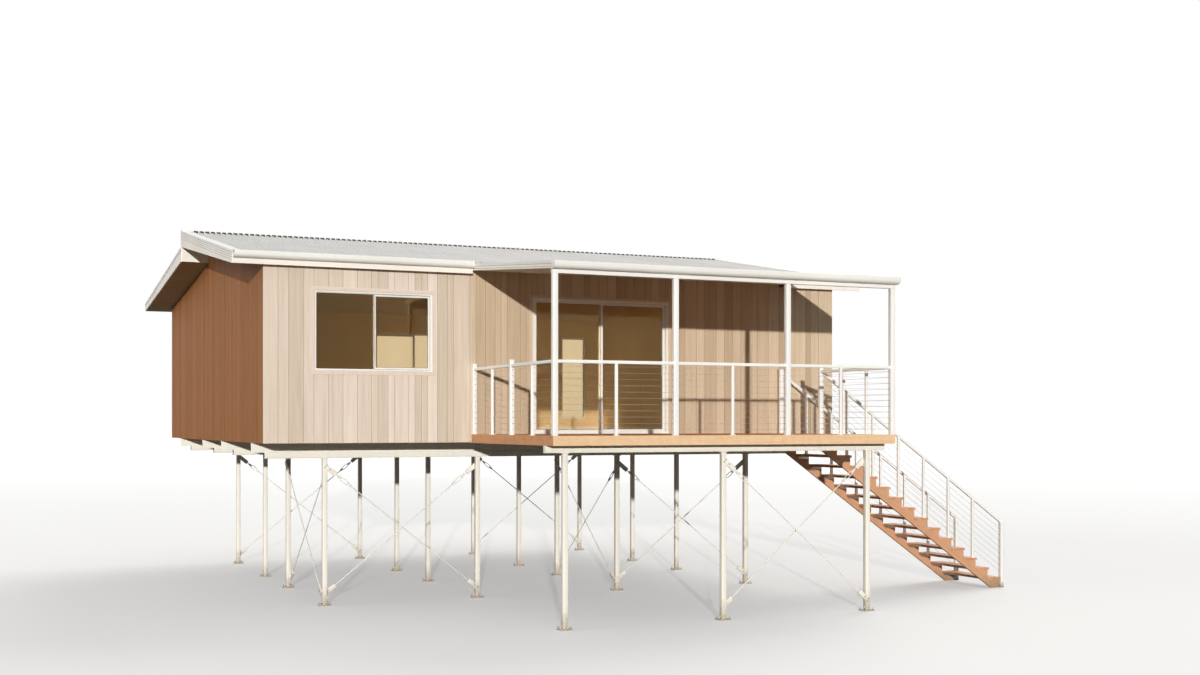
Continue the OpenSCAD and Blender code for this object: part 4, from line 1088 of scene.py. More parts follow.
frames, sashes, trims, panes, gaskets_and_shade_strips = (bmesh.new() for _ in range(5))
for place in window_places:
    width, height = place[3:]
    slides = width > 1
    inner, top, middle = width - FRAME_W, height - FRAME_W, width / 2
    add_frame(frames, place, 0, width, 0, height, frame_profile)
    add_wall_section(frames, place, 0.004, width - 0.004, sill_profile)
    add_frame(trims, place, 0, width, 0, height, trim_profile(0.048, 0.0095))
    fixed_end = middle + 0.02 if slides else inner
    edge = FRAME_W - 0.005
    add_wall_block(panes, place, edge, fixed_end, 0.060, 0.068, edge, height - edge)
    add_frame(gaskets_and_shade_strips, place, FRAME_W, fixed_end, FRAME_W, top,
              strip_profile(0, 0.006, 0.056, 0.0605))
    if slides:
        add_frame(sashes, place, middle, inner, FRAME_W, top, sash_profile)
        # This dark strip round the sash's outer edge is painted shade, standing for the shadow in
        # the gap between sash and frame.
        add_frame(gaskets_and_shade_strips, place, middle + 0.0035, inner, FRAME_W, top,
                  strip_profile(-0.0035, 0.0015, 0.0292, 0.0312))
        add_wall_block(sashes, place, middle + 0.002, middle + 0.026, 0.066, 0.098, FRAME_W, top)
        add_wall_block(sashes, place, middle + 0.004, middle + 0.024, 0.014, 0.031,
                       height / 2 - 0.05, height / 2 + 0.05)
        edge = SASH_W - 0.005
        add_wall_block(panes, place, middle + edge, inner - edge, 0.044, 0.052, FRAME_W + edge,
                       top - edge)
        add_frame(gaskets_and_shade_strips, place, middle, inner, FRAME_W, top,
                  strip_profile(SASH_W, SASH_W + GASKET_W, 0.040, 0.0445))
finish_piece("window_outer_frames", frames, window_white, ["window_frames"], smooth=0)
finish_piece("window_sashes", sashes, window_white, smooth=0)
finish_piece("window_trims", trims, trim_timber, smooth=0)
finish_piece("window_panes", panes, clear_glass, ["window_glass"], smooth=0)
finish_piece("window_gaskets", gaskets_and_shade_strips, dark_rubber_and_shade, smooth=0)

# %% [markdown]
# ## Sliding door
# The door's frame has a head and two jambs over a sill with two rails. The left panel is fixed in
# the outer groove, and the right one slides behind it on the inner rail, so it rides on a body of
# its own. The sliding panel has a pull inside and a thin lock plate outside.

# %% Make the door's frame
DOOR_FRAME_W, STILE_W, DOOR_SILL_H, PANEL_LAP = 0.036, 0.038, 0.030, 0.044
door_place = opening(DOOR_LEFT, DOOR_RIGHT, FLOOR_H, DOOR_HEAD)
door_w, door_h = door_place[3:]
bm = bmesh.new()
add_frame(bm, door_place, 0, door_w, 0, door_h,
          [(0, 0.007), (0.002, 0.005), (0.027, 0.005), (0.030, 0.008), (0.030, 0.013),
           (DOOR_FRAME_W, 0.013), (DOOR_FRAME_W, 0.115), (0, 0.115)], open_foot=True)
add_wall_section(bm, door_place, 0.001, door_w - 0.001,
                 [(-0.012, 0.000), (-0.012, 0.008), (0.006, 0.016), (0.030, 0.017),
                  (0.030, 0.029), (0.036, 0.029), (0.036, 0.017), (0.074, 0.017), (0.074, 0.034),
                  (0.080, 0.034), (0.080, 0.017), (0.115, 0.017), (0.115, 0.000)])
finish_piece("door_outer_frame", bm, window_white, ["door_frame"], smooth=0)
bm = bmesh.new()
add_frame(bm, door_place, -0.002, door_w + 0.002, 0, door_h, trim_profile(0.034, 0.0045),
          open_foot=True)
finish_piece("door_trim", bm, cladding_tan, smooth=0)

# %% Make the door's panels
PANEL_W = (door_w - 2 * DOOR_FRAME_W + PANEL_LAP) / 2
PANEL_HEAD = door_h - DOOR_FRAME_W
SLIDE_LEFT = door_w - DOOR_FRAME_W - PANEL_W
PULL_S = SLIDE_LEFT + PANEL_W - 0.025
for part, body, left, right, foot, head, depth in (
        ("fixed", "house", DOOR_FRAME_W, DOOR_FRAME_W + PANEL_W, DOOR_SILL_H, PANEL_HEAD, 0.014),
        ("sliding", "sliding_door", SLIDE_LEFT, SLIDE_LEFT + PANEL_W - 0.006,
         DOOR_SILL_H + 0.006, PANEL_HEAD - 0.006, 0.058)):
    bm = bmesh.new()
    add_frame(bm, door_place, left, right, foot, head,
              [(0, depth + 0.002), (0.002, depth), (STILE_W - 0.004, depth),
               (STILE_W, depth + 0.004), (STILE_W, depth + 0.034),
               (STILE_W - 0.004, depth + 0.038), (0, depth + 0.038)])
    if part == "sliding":
        for height in (0.955, 1.155):
            add_bar(bm, on_wall(door_place, PULL_S, 0.095, height),
                    on_wall(door_place, PULL_S, 0.112, height), 0.014, 0.014, 0.006)
        add_bar(bm, on_wall(door_place, PULL_S, 0.118, 0.937),
                on_wall(door_place, PULL_S, 0.118, 1.173), 0.022, 0.014, 0.006, (0, 1, 0), 3)
        add_wall_block(bm, door_place, PULL_S - 0.014, PULL_S + 0.014, 0.0571, 0.0582, 0.93, 1.15)
    finish_piece(f"door_{part}_frame", bm, window_white, [f"door_{part}_panel"], body=body,
                 smooth=30 if part == "sliding" else 0)
    glass_depth = depth + 0.0145
    bm = bmesh.new()
    add_frame(bm, door_place, left, right, foot, head,
              strip_profile(STILE_W, STILE_W + GASKET_W, glass_depth - 0.003, glass_depth))
    finish_piece(f"door_{part}_gasket", bm, dark_rubber_and_shade, body=body, smooth=0)
    bm = bmesh.new()
    edge = STILE_W - 0.006
    add_wall_block(bm, door_place, left + edge, right - edge, glass_depth - 0.0005,
                   glass_depth + 0.0075, foot + edge, head - edge)
    finish_piece(f"door_{part}_pane", bm, clear_glass, [f"door_{part}_glass"], body=body, smooth=0)

# %% [markdown]
# ## Roofing, lining and boards that keep their CAD shape
# The ribbed roofing, the linings, the joists and the rafters already have the right shape, so they
# only change their material.

# %% Give the kept CAD nodes their finishes
kept = {
    "front_roof_sheet": roofing, "back_roof_sheet": roofing, "verandah_sheet": roofing,
    "ridge_capping": capping_white, "roof_lining": lining_brown, "rafters": rafter_timber,
    "verandah_lining": ceiling_pale, "floor_joists": joist_zinc, "floor_sheet": floor_timber,
    "deck_joists": deck_frame_timber,
}
for node, material in kept.items():
    frame_meshes[node].materials.clear()
    frame_meshes[node].materials.append(material)
print("CAD nodes with a new finish:", len(kept))

# %% [markdown]
# ## Ridge cover
# Along the ridge a folded cover stands a little above the ribs of the front plane. Dark foam
# closes each pan under it, set flush with the cover's edge, so that its dark colour stands in for
# the shade in the pans: painted shade. With the lip, which is cut to come down on every rib, it
# makes the dashed line under the ridge. One closure and one tooth of the lip are drawn, and the
# tree for boards repeats them.

# %% Make the ridge cover
RIB_PITCH, PANS, FIRST_PAN, LAST_PAN_EDGE = 0.096, 107, -0.238, 0.039
COVER_Y = RIDGE_Y - 0.150
cover_foot, cover_top = front_top(COVER_Y), front_top(RIDGE_Y) + 0.0015
bm = bmesh.new()
add_section(bm, ROOF_LEFT, ROOF_RIGHT, [
    (COVER_Y - 0.006, cover_top), (RIDGE_Y, cover_top + 0.0012), (RIDGE_Y, cover_top - 0.001),
    (COVER_Y - 0.0045, cover_top - 0.002), (COVER_Y - 0.0045, cover_top - 0.009),
    (COVER_Y - 0.006, cover_top - 0.009)])
for x0, x1 in ((ROOF_LEFT, FIRST_PAN - LAST_PAN_EDGE),
               (FIRST_PAN + RIB_PITCH * (PANS - 1) + LAST_PAN_EDGE, ROOF_RIGHT)):
    add_section(bm, x0, x1, [
        (COVER_Y - 0.0045, cover_top - 0.0022), (COVER_Y - 0.0045, cover_foot + 0.0005),
        (COVER_Y + 0.02, cover_foot + 0.0045), (RIDGE_Y - 0.012, cover_top - 0.0022)])
finish_piece("ridge_cover", bm, capping_white, smooth=0)


def repeat_along_ridge(name, x, outline, y0, y1, count, material):
    """One upright outline of places along and heights, made thick and repeated along the ridge."""
    bm = bmesh.new()
    add_prism(bm, [(x + u, y0, cover_foot + v) for u, v in outline], (0, y1 - y0, 0))
    repeat_piece(name, bm, count, (RIB_PITCH, 0, 0), 9, material, turn_out=False, slot="roofing",
                 smooth=0)


COVER_H = cover_top - cover_foot
# The dark closures are painted shade: dark pieces flush with the cover's edge that stand for the
# shade in the pans.
repeat_along_ridge("pan_closures", FIRST_PAN, [
    (-0.0275, -0.0235), (0.0275, -0.0235), (0.0385, 0.0005), (0.0385, COVER_H - 0.003),
    (-0.0385, COVER_H - 0.003), (-0.0385, 0.0005)],
    COVER_Y - 0.004, COVER_Y - 0.001, PANS, dark_rubber_and_shade)
repeat_along_ridge("ridge_lip_teeth", FIRST_PAN + RIB_PITCH / 2, [
    (-0.0125, 0.0005), (0.0125, 0.0005), (0.0125, COVER_H - 0.0092), (-0.0125, COVER_H - 0.0092)],
    COVER_Y - 0.006, COVER_Y - 0.0045, PANS - 1, capping_white)

# %% [markdown]
# ## Roof screws
# A screw with a washer goes through every second rib at each batten. The trees for fasteners need
# only the points and the direction square to the slope.

# %% Set the roof screws
FIRST_RIB, FIRST_VERANDAH_RIB = -0.382, 3.212
roof_places = []
for first, last_rib, top, slope, battens in (
        (FIRST_RIB, 110, front_top, -FRONT_ANGLE, (0.0, 0.95, 1.9, 2.85, 3.8, 4.5)),
        (FIRST_RIB, 110, back_top, BACK_ANGLE, (4.95, 5.9, 6.85, 7.8, 8.75, 9.7)),
        (FIRST_VERANDAH_RIB, 57, verandah_top, -VERANDAH_ANGLE, (-3.15, -2.15, -1.15, -0.22))):
    normal = (0, math.sin(slope), math.cos(slope))
    roof_places += [((first + RIB_PITCH * i, y, top(y)), normal)
                    for i in range(1, last_rib, 2) for y in battens]
add_fasteners("roof_screws", roof_places, 0.011, 0.006, 0.017, slot="roofing")

# %% [markdown]
# ## Barge boards
# Folded boards close the roof's sides. Their faces have shallow folds that run along under the
# capping. A board is a skin between two upright sections, one at each end of the slope, because
# its depth changes along the way. At the ridge an infill closes the step board over each gable
# wall.

# %% Make the barge boards
FOLD_DEPTH, FOLD_W = 0.004, 0.010


def barge_section(y, top, foot, outer, inner, folds):
    """Upright section of a barge board, with a groove for each fold."""
    floor = outer + math.copysign(FOLD_DEPTH, inner - outer)
    points = [(inner, y, top), (outer, y, top)]
    for drop in folds:
        z = top - drop
        points += [(outer, y, z), (floor, y, z - 0.001), (floor, y, z - FOLD_W + 0.001),
                   (outer, y, z - FOLD_W)]
    return points + [(outer, y, foot), (inner, y, foot)]


def add_barge(bm, outer, inner, y0, y1, top, foot, folds):
    """A barge board between two places across the house; the floors of its folds get painted shade.
    """
    groove = point_values(bm, "groove")
    for vert in add_skin(bm, [barge_section(y, top(y) - LINING_GAP, foot(y), outer, inner, folds)
                              for y in (y0, y1)]):
        vert[groove] = float(0.001 < abs(vert.co.x - outer) < FOLD_DEPTH + 0.001)


bm = bmesh.new()
for outer, inner in ((ROOF_LEFT, -VERGE), (ROOF_RIGHT, HOUSE_L + VERGE)):
    add_barge(bm, outer, inner, -FRONT_OVER, RIDGE_Y, front_top, front_soffit,
              (0.030, 0.064, 0.098, 0.132))
    add_barge(bm, outer, inner, RIDGE_Y, BACK_EDGE, back_top, back_soffit, (0.030, 0.064))
for outer, inner in ((PALE_L, PALE_L + FASCIA_T), (DECK_END + FASCIA_T, DECK_END)):
    add_barge(bm, outer, inner, -DECK_D, 0, verandah_top, verandah_soffit, (0.034, 0.070))
finish_piece("folded_barges", bm, trim_white, ["barge_boards"], smooth=0)
bm = bmesh.new()
for x0, x1 in ((0.002, WALL_T), (HOUSE_L - WALL_T, HOUSE_L - 0.002)):
    add_block(bm, (x0, STEP_Y + 0.0002, back_soffit(RIDGE_Y)),
              (x1, RIDGE_Y - 0.0003, front_soffit(RIDGE_Y) + 0.010))
finish_piece("step_board_infills", bm, trim_white, smooth=0)
eased_copy("eased_fascias", "eave_fascias", trim_white, 0.002)
eased_copy("eased_ridge_board", "ridge_board", trim_white, 0.002)

# %% [markdown]
# ## Gutters
# A gutter is a folded trough with a round front corner and a rolled front lip, hung on straps that
# reach over it. Its section is one closed outline of thin metal.

# %% Make the gutters
GUTTER_H, GUTTER_W, GUTTER_BACK_H, GUTTER_T = 0.103, 0.100, 0.070, 0.0025
GUTTER_R, ROLL_R, GUTTER_END_T = 0.055, 0.006, 0.002


def arc(u, v, radius, start, end, step):
    """Points of an arc about a centre, between two angles in degrees."""
    angles = [math.radians(a) for a in range(start, end + 1, step)]
    return [(u + radius * math.cos(a), v + radius * math.sin(a)) for a in angles]


def gutter_section():
    """Outline of the folded metal, as distances out from the fascia and up from the sole."""
    turn = (GUTTER_W - GUTTER_R, GUTTER_R)
    outer = [(0, GUTTER_BACK_H), (0, 0)] + arc(*turn, GUTTER_R, -90, 0, 10)
    roll = arc(GUTTER_W - ROLL_R, GUTTER_H - ROLL_R, ROLL_R, 0, 270, 30)
    inner = [(GUTTER_W - GUTTER_T, 0.089)] + arc(*turn, GUTTER_R - GUTTER_T, -90, 0, 10)[::-1]
    return outer + roll + inner + [(GUTTER_T, GUTTER_T), (GUTTER_T, GUTTER_BACK_H)]


def add_gutter(bm, x0, x1, y, foot, turn):
    """A length of gutter with stop ends; turn is -1 at the front and 1 at the back."""
    end = [(0, GUTTER_BACK_H), (0, 0)] + arc(GUTTER_W - GUTTER_R, GUTTER_R, GUTTER_R, -90, 0, 15)
    end.append((GUTTER_W, GUTTER_H - 0.0005))
    for low, high, outline in ((x0, x1, gutter_section()), (x0, x0 + GUTTER_END_T, end),
                               (x1 - GUTTER_END_T, x1, end)):
        add_section(bm, low, high, [(y + turn * u, foot + v) for u, v in outline])


gutter_runs = [(x0, x1, y, top(y) - GUTTER_H, turn) for x0, x1, y, top, turn in (
    (-VERGE, PALE_L, -FRONT_OVER, front_top, -1),
    (DECK_END + FASCIA_T, HOUSE_L + VERGE, -FRONT_OVER, front_top, -1),
    (-VERGE, HOUSE_L + VERGE, BACK_EDGE, back_top, 1),
    (PALE_L, DECK_END + FASCIA_T, -DECK_D, verandah_top, -1))]
bm = bmesh.new()
for run in gutter_runs:
    add_gutter(bm, *run)
finish_piece("rolled_gutters", bm, gutter_white, ["gutters"], smooth=25)
for number, (x0, x1, y, foot, turn) in enumerate(gutter_runs):
    count = max(2, round((x1 - x0) / 0.9))
    near, far = sorted((y + turn * 0.001, y + turn * 0.092))
    bm = bmesh.new()
    add_block(bm, (x0 + 0.09, near, foot + 0.066), (x0 + 0.11, far, foot + 0.069))
    repeat_piece(f"gutter_straps_{number + 1}", bm, count, ((x1 - x0 - 0.2) / (count - 1), 0, 0),
                 3, trim_white, turn_out=False, smooth=0)

# %% [markdown]
# ## Verandah
# Four square posts carry the front beam. Each post is a rounded steel tube with a thin weld collar
# at its foot and a plate behind its head. Flat strips cover the joints of the ceiling sheets.

# %% Make the posts, the beam and the ceiling strips
POST_W, PLATE_T, BEAM_FOOT = 0.075, 0.006, 2.283
POST_Y = -DECK_D + POST_W / 2
POSTS = [DECK_X + POST_W / 2 + (DECK_END - DECK_X - POST_W) / 3 * i for i in range(4)]
plate_y = POST_Y + POST_W / 2
bm = bmesh.new()
for x in POSTS:
    add_post(bm, x, POST_Y, FLOOR_H, BEAM_FOOT, POST_W, 0.007)
    add_post(bm, x, POST_Y, FLOOR_H, FLOOR_H + 0.005, POST_W + 0.004, 0.008, taper=0.96)
    add_post(bm, x, POST_Y, BEAM_FOOT - 0.005, BEAM_FOOT, POST_W + 0.001, 0.008)
    add_block(bm, (x - 0.03, plate_y, BEAM_FOOT - 0.10),
              (x + 0.03, plate_y + PLATE_T, BEAM_FOOT + 0.05))
finish_piece("verandah_tube_posts", bm, rail_white, ["verandah_posts"])
post_bolts = [((x + side, plate_y + PLATE_T, BEAM_FOOT + z), (0, 1, 0))
              for x in POSTS for side in (-0.016, 0.016) for z in (-0.075, -0.035, 0.03)]
add_fasteners("post_bolts", post_bolts, 0.016, 0.007, 0.022)
eased_copy("eased_verandah_beam", "verandah_beam", rail_white, 0.005)

bm = bmesh.new()
for i in range(1, 6):
    x = PALE_L + FASCIA_T + (DECK_END - PALE_L - FASCIA_T) / 6 * i
    add_section(bm, x - 0.02, x + 0.02,
                sloping_sheet(verandah_soffit, -DECK_D + POST_W + 0.001, -0.001, 0, -0.005))
finish_piece("ceiling_cover_strips", bm, ceiling_pale, smooth=0)

# %% [markdown]
# ## Deck
# The deck has 35 boards of one width with narrow gaps. One eased board is drawn, and the tree for
# repeated boards lays the rest and gives each its tone. Two screws go into every joist. The fascia
# boards meet in mitres at the front corners.

# %% Lay the deck
BOARDS, BOARD_GAP, BOARD_T = 35, 0.004, 0.025
BOARD_PITCH = (DECK_D - BOARD_T + BOARD_GAP) / BOARDS
BOARD_W = BOARD_PITCH - BOARD_GAP
first_y, board_z = -DECK_D + BOARD_T + BOARD_W / 2, FLOOR_H - BOARD_T / 2
bm = bmesh.new()
add_bar(bm, (DECK_X + BOARD_T, first_y, board_z), (DECK_END - BOARD_T, first_y, board_z),
        BOARD_W, BOARD_T)
repeat_piece("decking", bm, BOARDS, (0, BOARD_PITCH, 0), 7, deck_timber, ["deck_boards"])
deck_joists = [DECK_X + 0.0475 + (DECK_END - DECK_X - 0.095) / 12 * i for i in range(13)]
deck_screws = [((x, first_y + BOARD_PITCH * i + side, FLOOR_H - 0.0005), UP)
               for x in deck_joists for i in range(BOARDS) for side in (-0.026, 0.026)]
add_fasteners("deck_screws", deck_screws, 0.005, 0.0006, 0.009)

# %% Close the deck's edges
FASCIA_FOOT = -0.010
front_y, mitre_y = -DECK_D, -DECK_D + BOARD_T
# The front fascia's paler timber is painted sunlight; the side fascias keep the darker timber.
bm = bmesh.new()
add_plan(bm, FASCIA_FOOT, FLOOR_H, [(DECK_X, front_y), (DECK_END, front_y),
                                    (DECK_END - BOARD_T, mitre_y), (DECK_X + BOARD_T, mitre_y)])
finish_piece("deck_front_fascia", bm, sunlit_fascia_timber, ["deck_fascia"], bevel=0.003)
bm = bmesh.new()
for x, turn in ((DECK_X, BOARD_T), (DECK_END, -BOARD_T)):
    add_plan(bm, FASCIA_FOOT, FLOOR_H, [(x, front_y), (x + turn, mitre_y), (x + turn, 0), (x, 0)])
finish_piece("deck_side_fascias", bm, deck_side_timber, ["deck_fascia"], bevel=0.003)
fascia_screws = [((x, front_y + 0.0003, z), (0, -1, 0)) for x in deck_joists
                 for z in (0.025, 0.095)]
fascia_screws += [((x, y, z), (way, 0, 0))
                  for x, way in ((DECK_X + 0.0003, -1), (DECK_END - 0.0003, 1))
                  for y in (-2.7, -2.1, -1.5, -0.9, -0.3) for z in (0.025, 0.095)]
add_fasteners("fascia_screws", fascia_screws, 0.005, 0.0006, 0.009)

# %% [markdown]
# ## Balustrades
# Between the posts runs a square top rail with a stanchion under its middle, and eleven wires pass
# through the stanchions. At the sides the bays run between newels with caps. Every wire ends in a
# fitting at a post. The rails, the wires and the fittings are a piece each.

# %% Make the deck's balustrades
RAIL_W, STANCHION_W, NEWEL_W = 0.045, 0.040, 0.065
RAIL_Z = FLOOR_H + 1.015 - RAIL_W / 2
NEWEL_TOP = FLOOR_H + 1.075
STAIR_NEWEL_Y, WALL_NEWEL_Y = -1.3355, -0.1305
MIDDLE_NEWEL_Y = (plate_y - NEWEL_W) / 2
FOUR_CORNERS = [(a, b) for a in (-1, 1) for b in (-1, 1)]
left_x, right_x = POSTS[0], POSTS[3]
bays = [((a + POST_W / 2, POST_Y), (b - POST_W / 2, POST_Y), 1) for a, b in zip(POSTS, POSTS[1:])]
bays += [((left_x, plate_y), (left_x, MIDDLE_NEWEL_Y - NEWEL_W / 2), 1),
         ((left_x, MIDDLE_NEWEL_Y + NEWEL_W / 2), (left_x, -NEWEL_W), 1),
         ((right_x, plate_y), (right_x, STAIR_NEWEL_Y - NEWEL_W / 2), 2)]
newels = [(left_x, MIDDLE_NEWEL_Y), (left_x, -NEWEL_W / 2), (right_x, STAIR_NEWEL_Y),
          (right_x, WALL_NEWEL_Y)]
wire_levels = [FLOOR_H + 0.080 + 0.085 * i for i in range(11)]

bm = bmesh.new()
wire_paths, fittings, foot_screws = [], [], []
for (x0, y0), (x1, y1), stanchions in bays:
    start, end = Vector((x0, y0, RAIL_Z)), Vector((x1, y1, RAIL_Z))
    along = (end - start).normalized()
    add_bar(bm, start, end, RAIL_W, RAIL_W, 0.006, steps=3)
    for i in range(stanchions):
        x, y, _ = start.lerp(end, (i + 1) / (stanchions + 1))
        add_post(bm, x, y, FLOOR_H, RAIL_Z - 0.01, STANCHION_W, 0.005)
        add_post(bm, x, y, FLOOR_H, FLOOR_H + PLATE_T, 0.072, 0.006)
        foot_screws += [((x + a * 0.026, y + b * 0.026, FLOOR_H + PLATE_T), UP)
                        for a, b in FOUR_CORNERS]
    for level in wire_levels:
        wire_paths.append([(x0, y0, level), (x1, y1, level)])
        fittings += [((x0, y0, level), along), ((x1, y1, level), -along)]
for x, y in newels:
    add_post(bm, x, y, FLOOR_H, NEWEL_TOP - 0.006, NEWEL_W, 0.006)
    add_post(bm, x, y, NEWEL_TOP - 0.006, NEWEL_TOP, NEWEL_W + 0.008, 0.006, taper=0.97)
    add_post(bm, x, y, FLOOR_H, FLOOR_H + 0.005, NEWEL_W + 0.006, 0.007, taper=0.95)
finish_piece("balustrade_rails", bm, rail_white,
             ["front_balustrade", "left_balustrade", "right_balustrade"])
add_fasteners("stanchion_screws", foot_screws, 0.009, 0.004, 0.012)

# %% [markdown]
# ## Stair
# Two cut stringers carry fourteen open treads of equal rise and going. One tread and its brackets
# are drawn and repeated down the slope. The rails slope with the stair, over stanchions that stand
# on the treads, and end above newels that stand on the ground.

# %% Make the stringers and the treads
STAIR_Y, STAIR_W, TREAD_T, NOSING, BRACKET_T = -1.368, 1.270, 0.040, 0.025, 0.004
stair_step = (STAIR_GOING, 0, -STAIR_RISE)
tread_x = DECK_END + 0.002 + (STAIR_GOING + NOSING) / 2
tread_z = FLOOR_H - STAIR_RISE - TREAD_T / 2
eased_copy("eased_stringers", "stair_stringers", stair_timber, 0.003)
bm = bmesh.new()
add_bar(bm, (tread_x, STAIR_Y, tread_z), (tread_x, STAIR_Y + STAIR_W, tread_z),
        STAIR_GOING + NOSING, TREAD_T, 0.007, steps=3)
repeat_piece("open_treads", bm, TREADS, stair_step, 12, tread_timber, ["stair_treads"])
tread_screws = [((tread_x + STAIR_GOING * k + dx, STAIR_Y + dy,
                  FLOOR_H - STAIR_RISE * (k + 1) - 0.0003), UP)
                for k in range(TREADS) for dx in (-0.07, 0.05) for dy in (0.022, STAIR_W - 0.022)]
add_fasteners("tread_screws", tread_screws, 0.007, 0.0006, 0.012)
bm = bmesh.new()
z = FLOOR_H - STAIR_RISE - TREAD_T
for y, turn in ((STAIR_Y, 1), (STAIR_Y + STAIR_W, -1)):
    y0, y1, y2 = (y + turn * d for d in (0.045, 0.045 + BRACKET_T, 0.085))
    add_section(bm, tread_x - 0.10, tread_x + 0.10, [
        (y0, z), (y2, z), (y2, z - BRACKET_T), (y1, z - BRACKET_T), (y1, z - 0.04), (y0, z - 0.04)])
repeat_piece("tread_brackets", bm, TREADS, stair_step, 1, bright_zinc, smooth=0)

# %% Make the stair's balustrades and all the wires
STAIR_START = right_x + NEWEL_W / 2
STAIR_END = DECK_END + TREADS * STAIR_GOING + 0.030
HANDRAIL_H = FLOOR_H + 1.005
stair_run = STAIR_END - STAIR_START
slope = STAIR_RISE / STAIR_GOING
down = Vector((1, 0, -slope)).normalized()
rail_mid = HANDRAIL_H - RAIL_W / 2 / math.cos(STAIR_ANGLE)
reach = stair_run + NEWEL_W - RAIL_W / 2 * math.sin(STAIR_ANGLE)
newel_top = HANDRAIL_H - stair_run * slope - 0.030
bm = bmesh.new()
for y in (STAIR_NEWEL_Y, WALL_NEWEL_Y):
    add_bar(bm, (STAIR_START - 0.018, y, rail_mid + 0.018 * slope),
            (STAIR_START + reach, y, rail_mid - reach * slope), RAIL_W, RAIL_W, 0.006, steps=3)
    for k in range(2, TREADS, 2):
        x = DECK_END + k * STAIR_GOING - 0.045
        foot = FLOOR_H - k * STAIR_RISE
        add_post(bm, x, y, foot, rail_mid - (x - STAIR_START) * slope, STANCHION_W, 0.005)
        add_post(bm, x, y, foot, foot + 0.006, 0.062, 0.006)
    for top in (newel_top, -CLEAR_H + 0.010):
        add_post(bm, STAIR_END + NEWEL_W / 2, y, -CLEAR_H, top, NEWEL_W, 0.006)
    for i in range(8):
        z = FLOOR_H + 0.120 + 0.104 * i
        low_z = z - stair_run * slope
        wire_paths.append([(STAIR_START + 0.002, y, z), (STAIR_END, y, low_z)])
        fittings += [((STAIR_START, y, z), down), ((STAIR_END, y, low_z), -down)]
finish_piece("stair_rails", bm, rail_white, ["stair_balustrades"])
add_wires("balustrade_wires", wire_paths, 0.004, 8, wire_steel)
add_fasteners("wire_fittings", fittings, 0.008, 0.026, 0.013, wire_steel, sides=8)

# %% [markdown]
# ## Stumps, bearers and beams
# Square tubes stand on foot plates with gussets and anchor bolts, under a box bearer in each row.
# Channel beams lie on the bearers and are bolted to them through their webs.

# %% Make the stumps
FOOT_PLATE_W, FOOT_PLATE_T, GUSSET_T = 0.180, 0.012, 0.006


def add_stump(bm, x, y, top):
    """A square tube on a foot plate, with a weld, four gussets and a head plate."""
    foot, on_plate = -CLEAR_H, -CLEAR_H + FOOT_PLATE_T
    add_post(bm, x, y, foot + 0.010, top, STUMP_W, 0.007)
    add_post(bm, x, y, foot, on_plate, FOOT_PLATE_W, 0.010)
    add_post(bm, x, y, on_plate, foot + 0.020, STUMP_W + 0.014, 0.009, taper=0.86)
    add_post(bm, x, y, top - 0.008, top, STUMP_W + 0.030, 0.006)
    near, far = STUMP_W / 2, STUMP_W / 2 + 0.040
    for ax, ay in ((1, 0), (-1, 0), (0, 1), (0, -1)):
        outline = [(x + ax * out - ay * GUSSET_T / 2, y + ay * out - ax * GUSSET_T / 2, z)
                   for out, z in ((near, on_plate), (far, on_plate), (near, foot + 0.070))]
        add_prism(bm, outline, (ay * GUSSET_T, ax * GUSSET_T, 0))


house_spots = [(x, y) for y in STUMP_ROWS for x in STUMP_COLUMNS]
deck_spots = [(x, DECK_ROW_Y) for x in DECK_COLUMNS]
for part, spots, top in (("house", house_spots, STUMP_TOP), ("deck", deck_spots, DECK_STUMP_TOP)):
    bm = bmesh.new()
    for x, y in spots:
        add_stump(bm, x, y, top)
    finish_piece(f"{part}_tube_stumps", bm, steel_cream, [f"{part}_stumps"])
anchors = [((x + a * 0.066, y + b * 0.066, -CLEAR_H + FOOT_PLATE_T), UP)
           for x, y in house_spots + deck_spots for a, b in FOUR_CORNERS]
add_fasteners("anchor_nuts", anchors, 0.022, 0.016, 0.030)
add_fasteners("anchor_studs", anchors, 0.012, 0.030, 0.012, sides=10)

# %% Make the bearers and the beams
BEARER_W, BEARER_H, DECK_BEARER_H, BEARER_END = 0.075, 0.090, 0.100, 0.200
z = STUMP_TOP + BEARER_H / 2
bm = bmesh.new()
for y in STUMP_ROWS:
    add_bar(bm, (BEARER_END, y, z), (HOUSE_L - BEARER_END, y, z), BEARER_W, BEARER_H, 0.006)
    for x in (BEARER_END, HOUSE_L - BEARER_END - 0.004):
        add_bar(bm, (x, y, z), (x + 0.004, y, z), BEARER_W - 0.006, BEARER_H - 0.006)
finish_piece("box_bearers", bm, steel_cream, ["floor_bearers"])
z = DECK_STUMP_TOP + DECK_BEARER_H / 2
bm = bmesh.new()
add_bar(bm, (DECK_X, DECK_ROW_Y, z), (DECK_END, DECK_ROW_Y, z), BEARER_W, DECK_BEARER_H, 0.006)
finish_piece("deck_box_bearer", bm, steel_cream, ["deck_bearer"])
eased_copy("eased_channel_beams", "floor_beams", steel_cream, 0.0015)
beam_bolts = [((x + side, y - 0.025, z), (0, -1, 0)) for x, y in house_spots
              for side in (-0.03, 0.03) for z in (-0.110, -0.045)]
add_fasteners("beam_bolts", beam_bolts, 0.019, 0.008, 0.026)

# %% [markdown]
# ## Tension braces
# Each bay of bracing is a pair of crossed rods. A rod runs from a plate on one stump to a plate on
# the next, and an open turnbuckle near its upper end pulls it tight. The rods and the turnbuckle's
# bowed bars are wires from the tree. At both ends a square block holds the rod and is pinned to
# its plate.

# %% Lay out the braces
ROD_D, ROD_END, BRACE_PLATE_T = 0.016, 0.165, 0.008
TURNBUCKLE_FROM_TOP, TURNBUCKLE_L = 0.500, 0.230
BRACE_FROM_FOOT, BRACE_FROM_HEAD = 0.160, 0.120


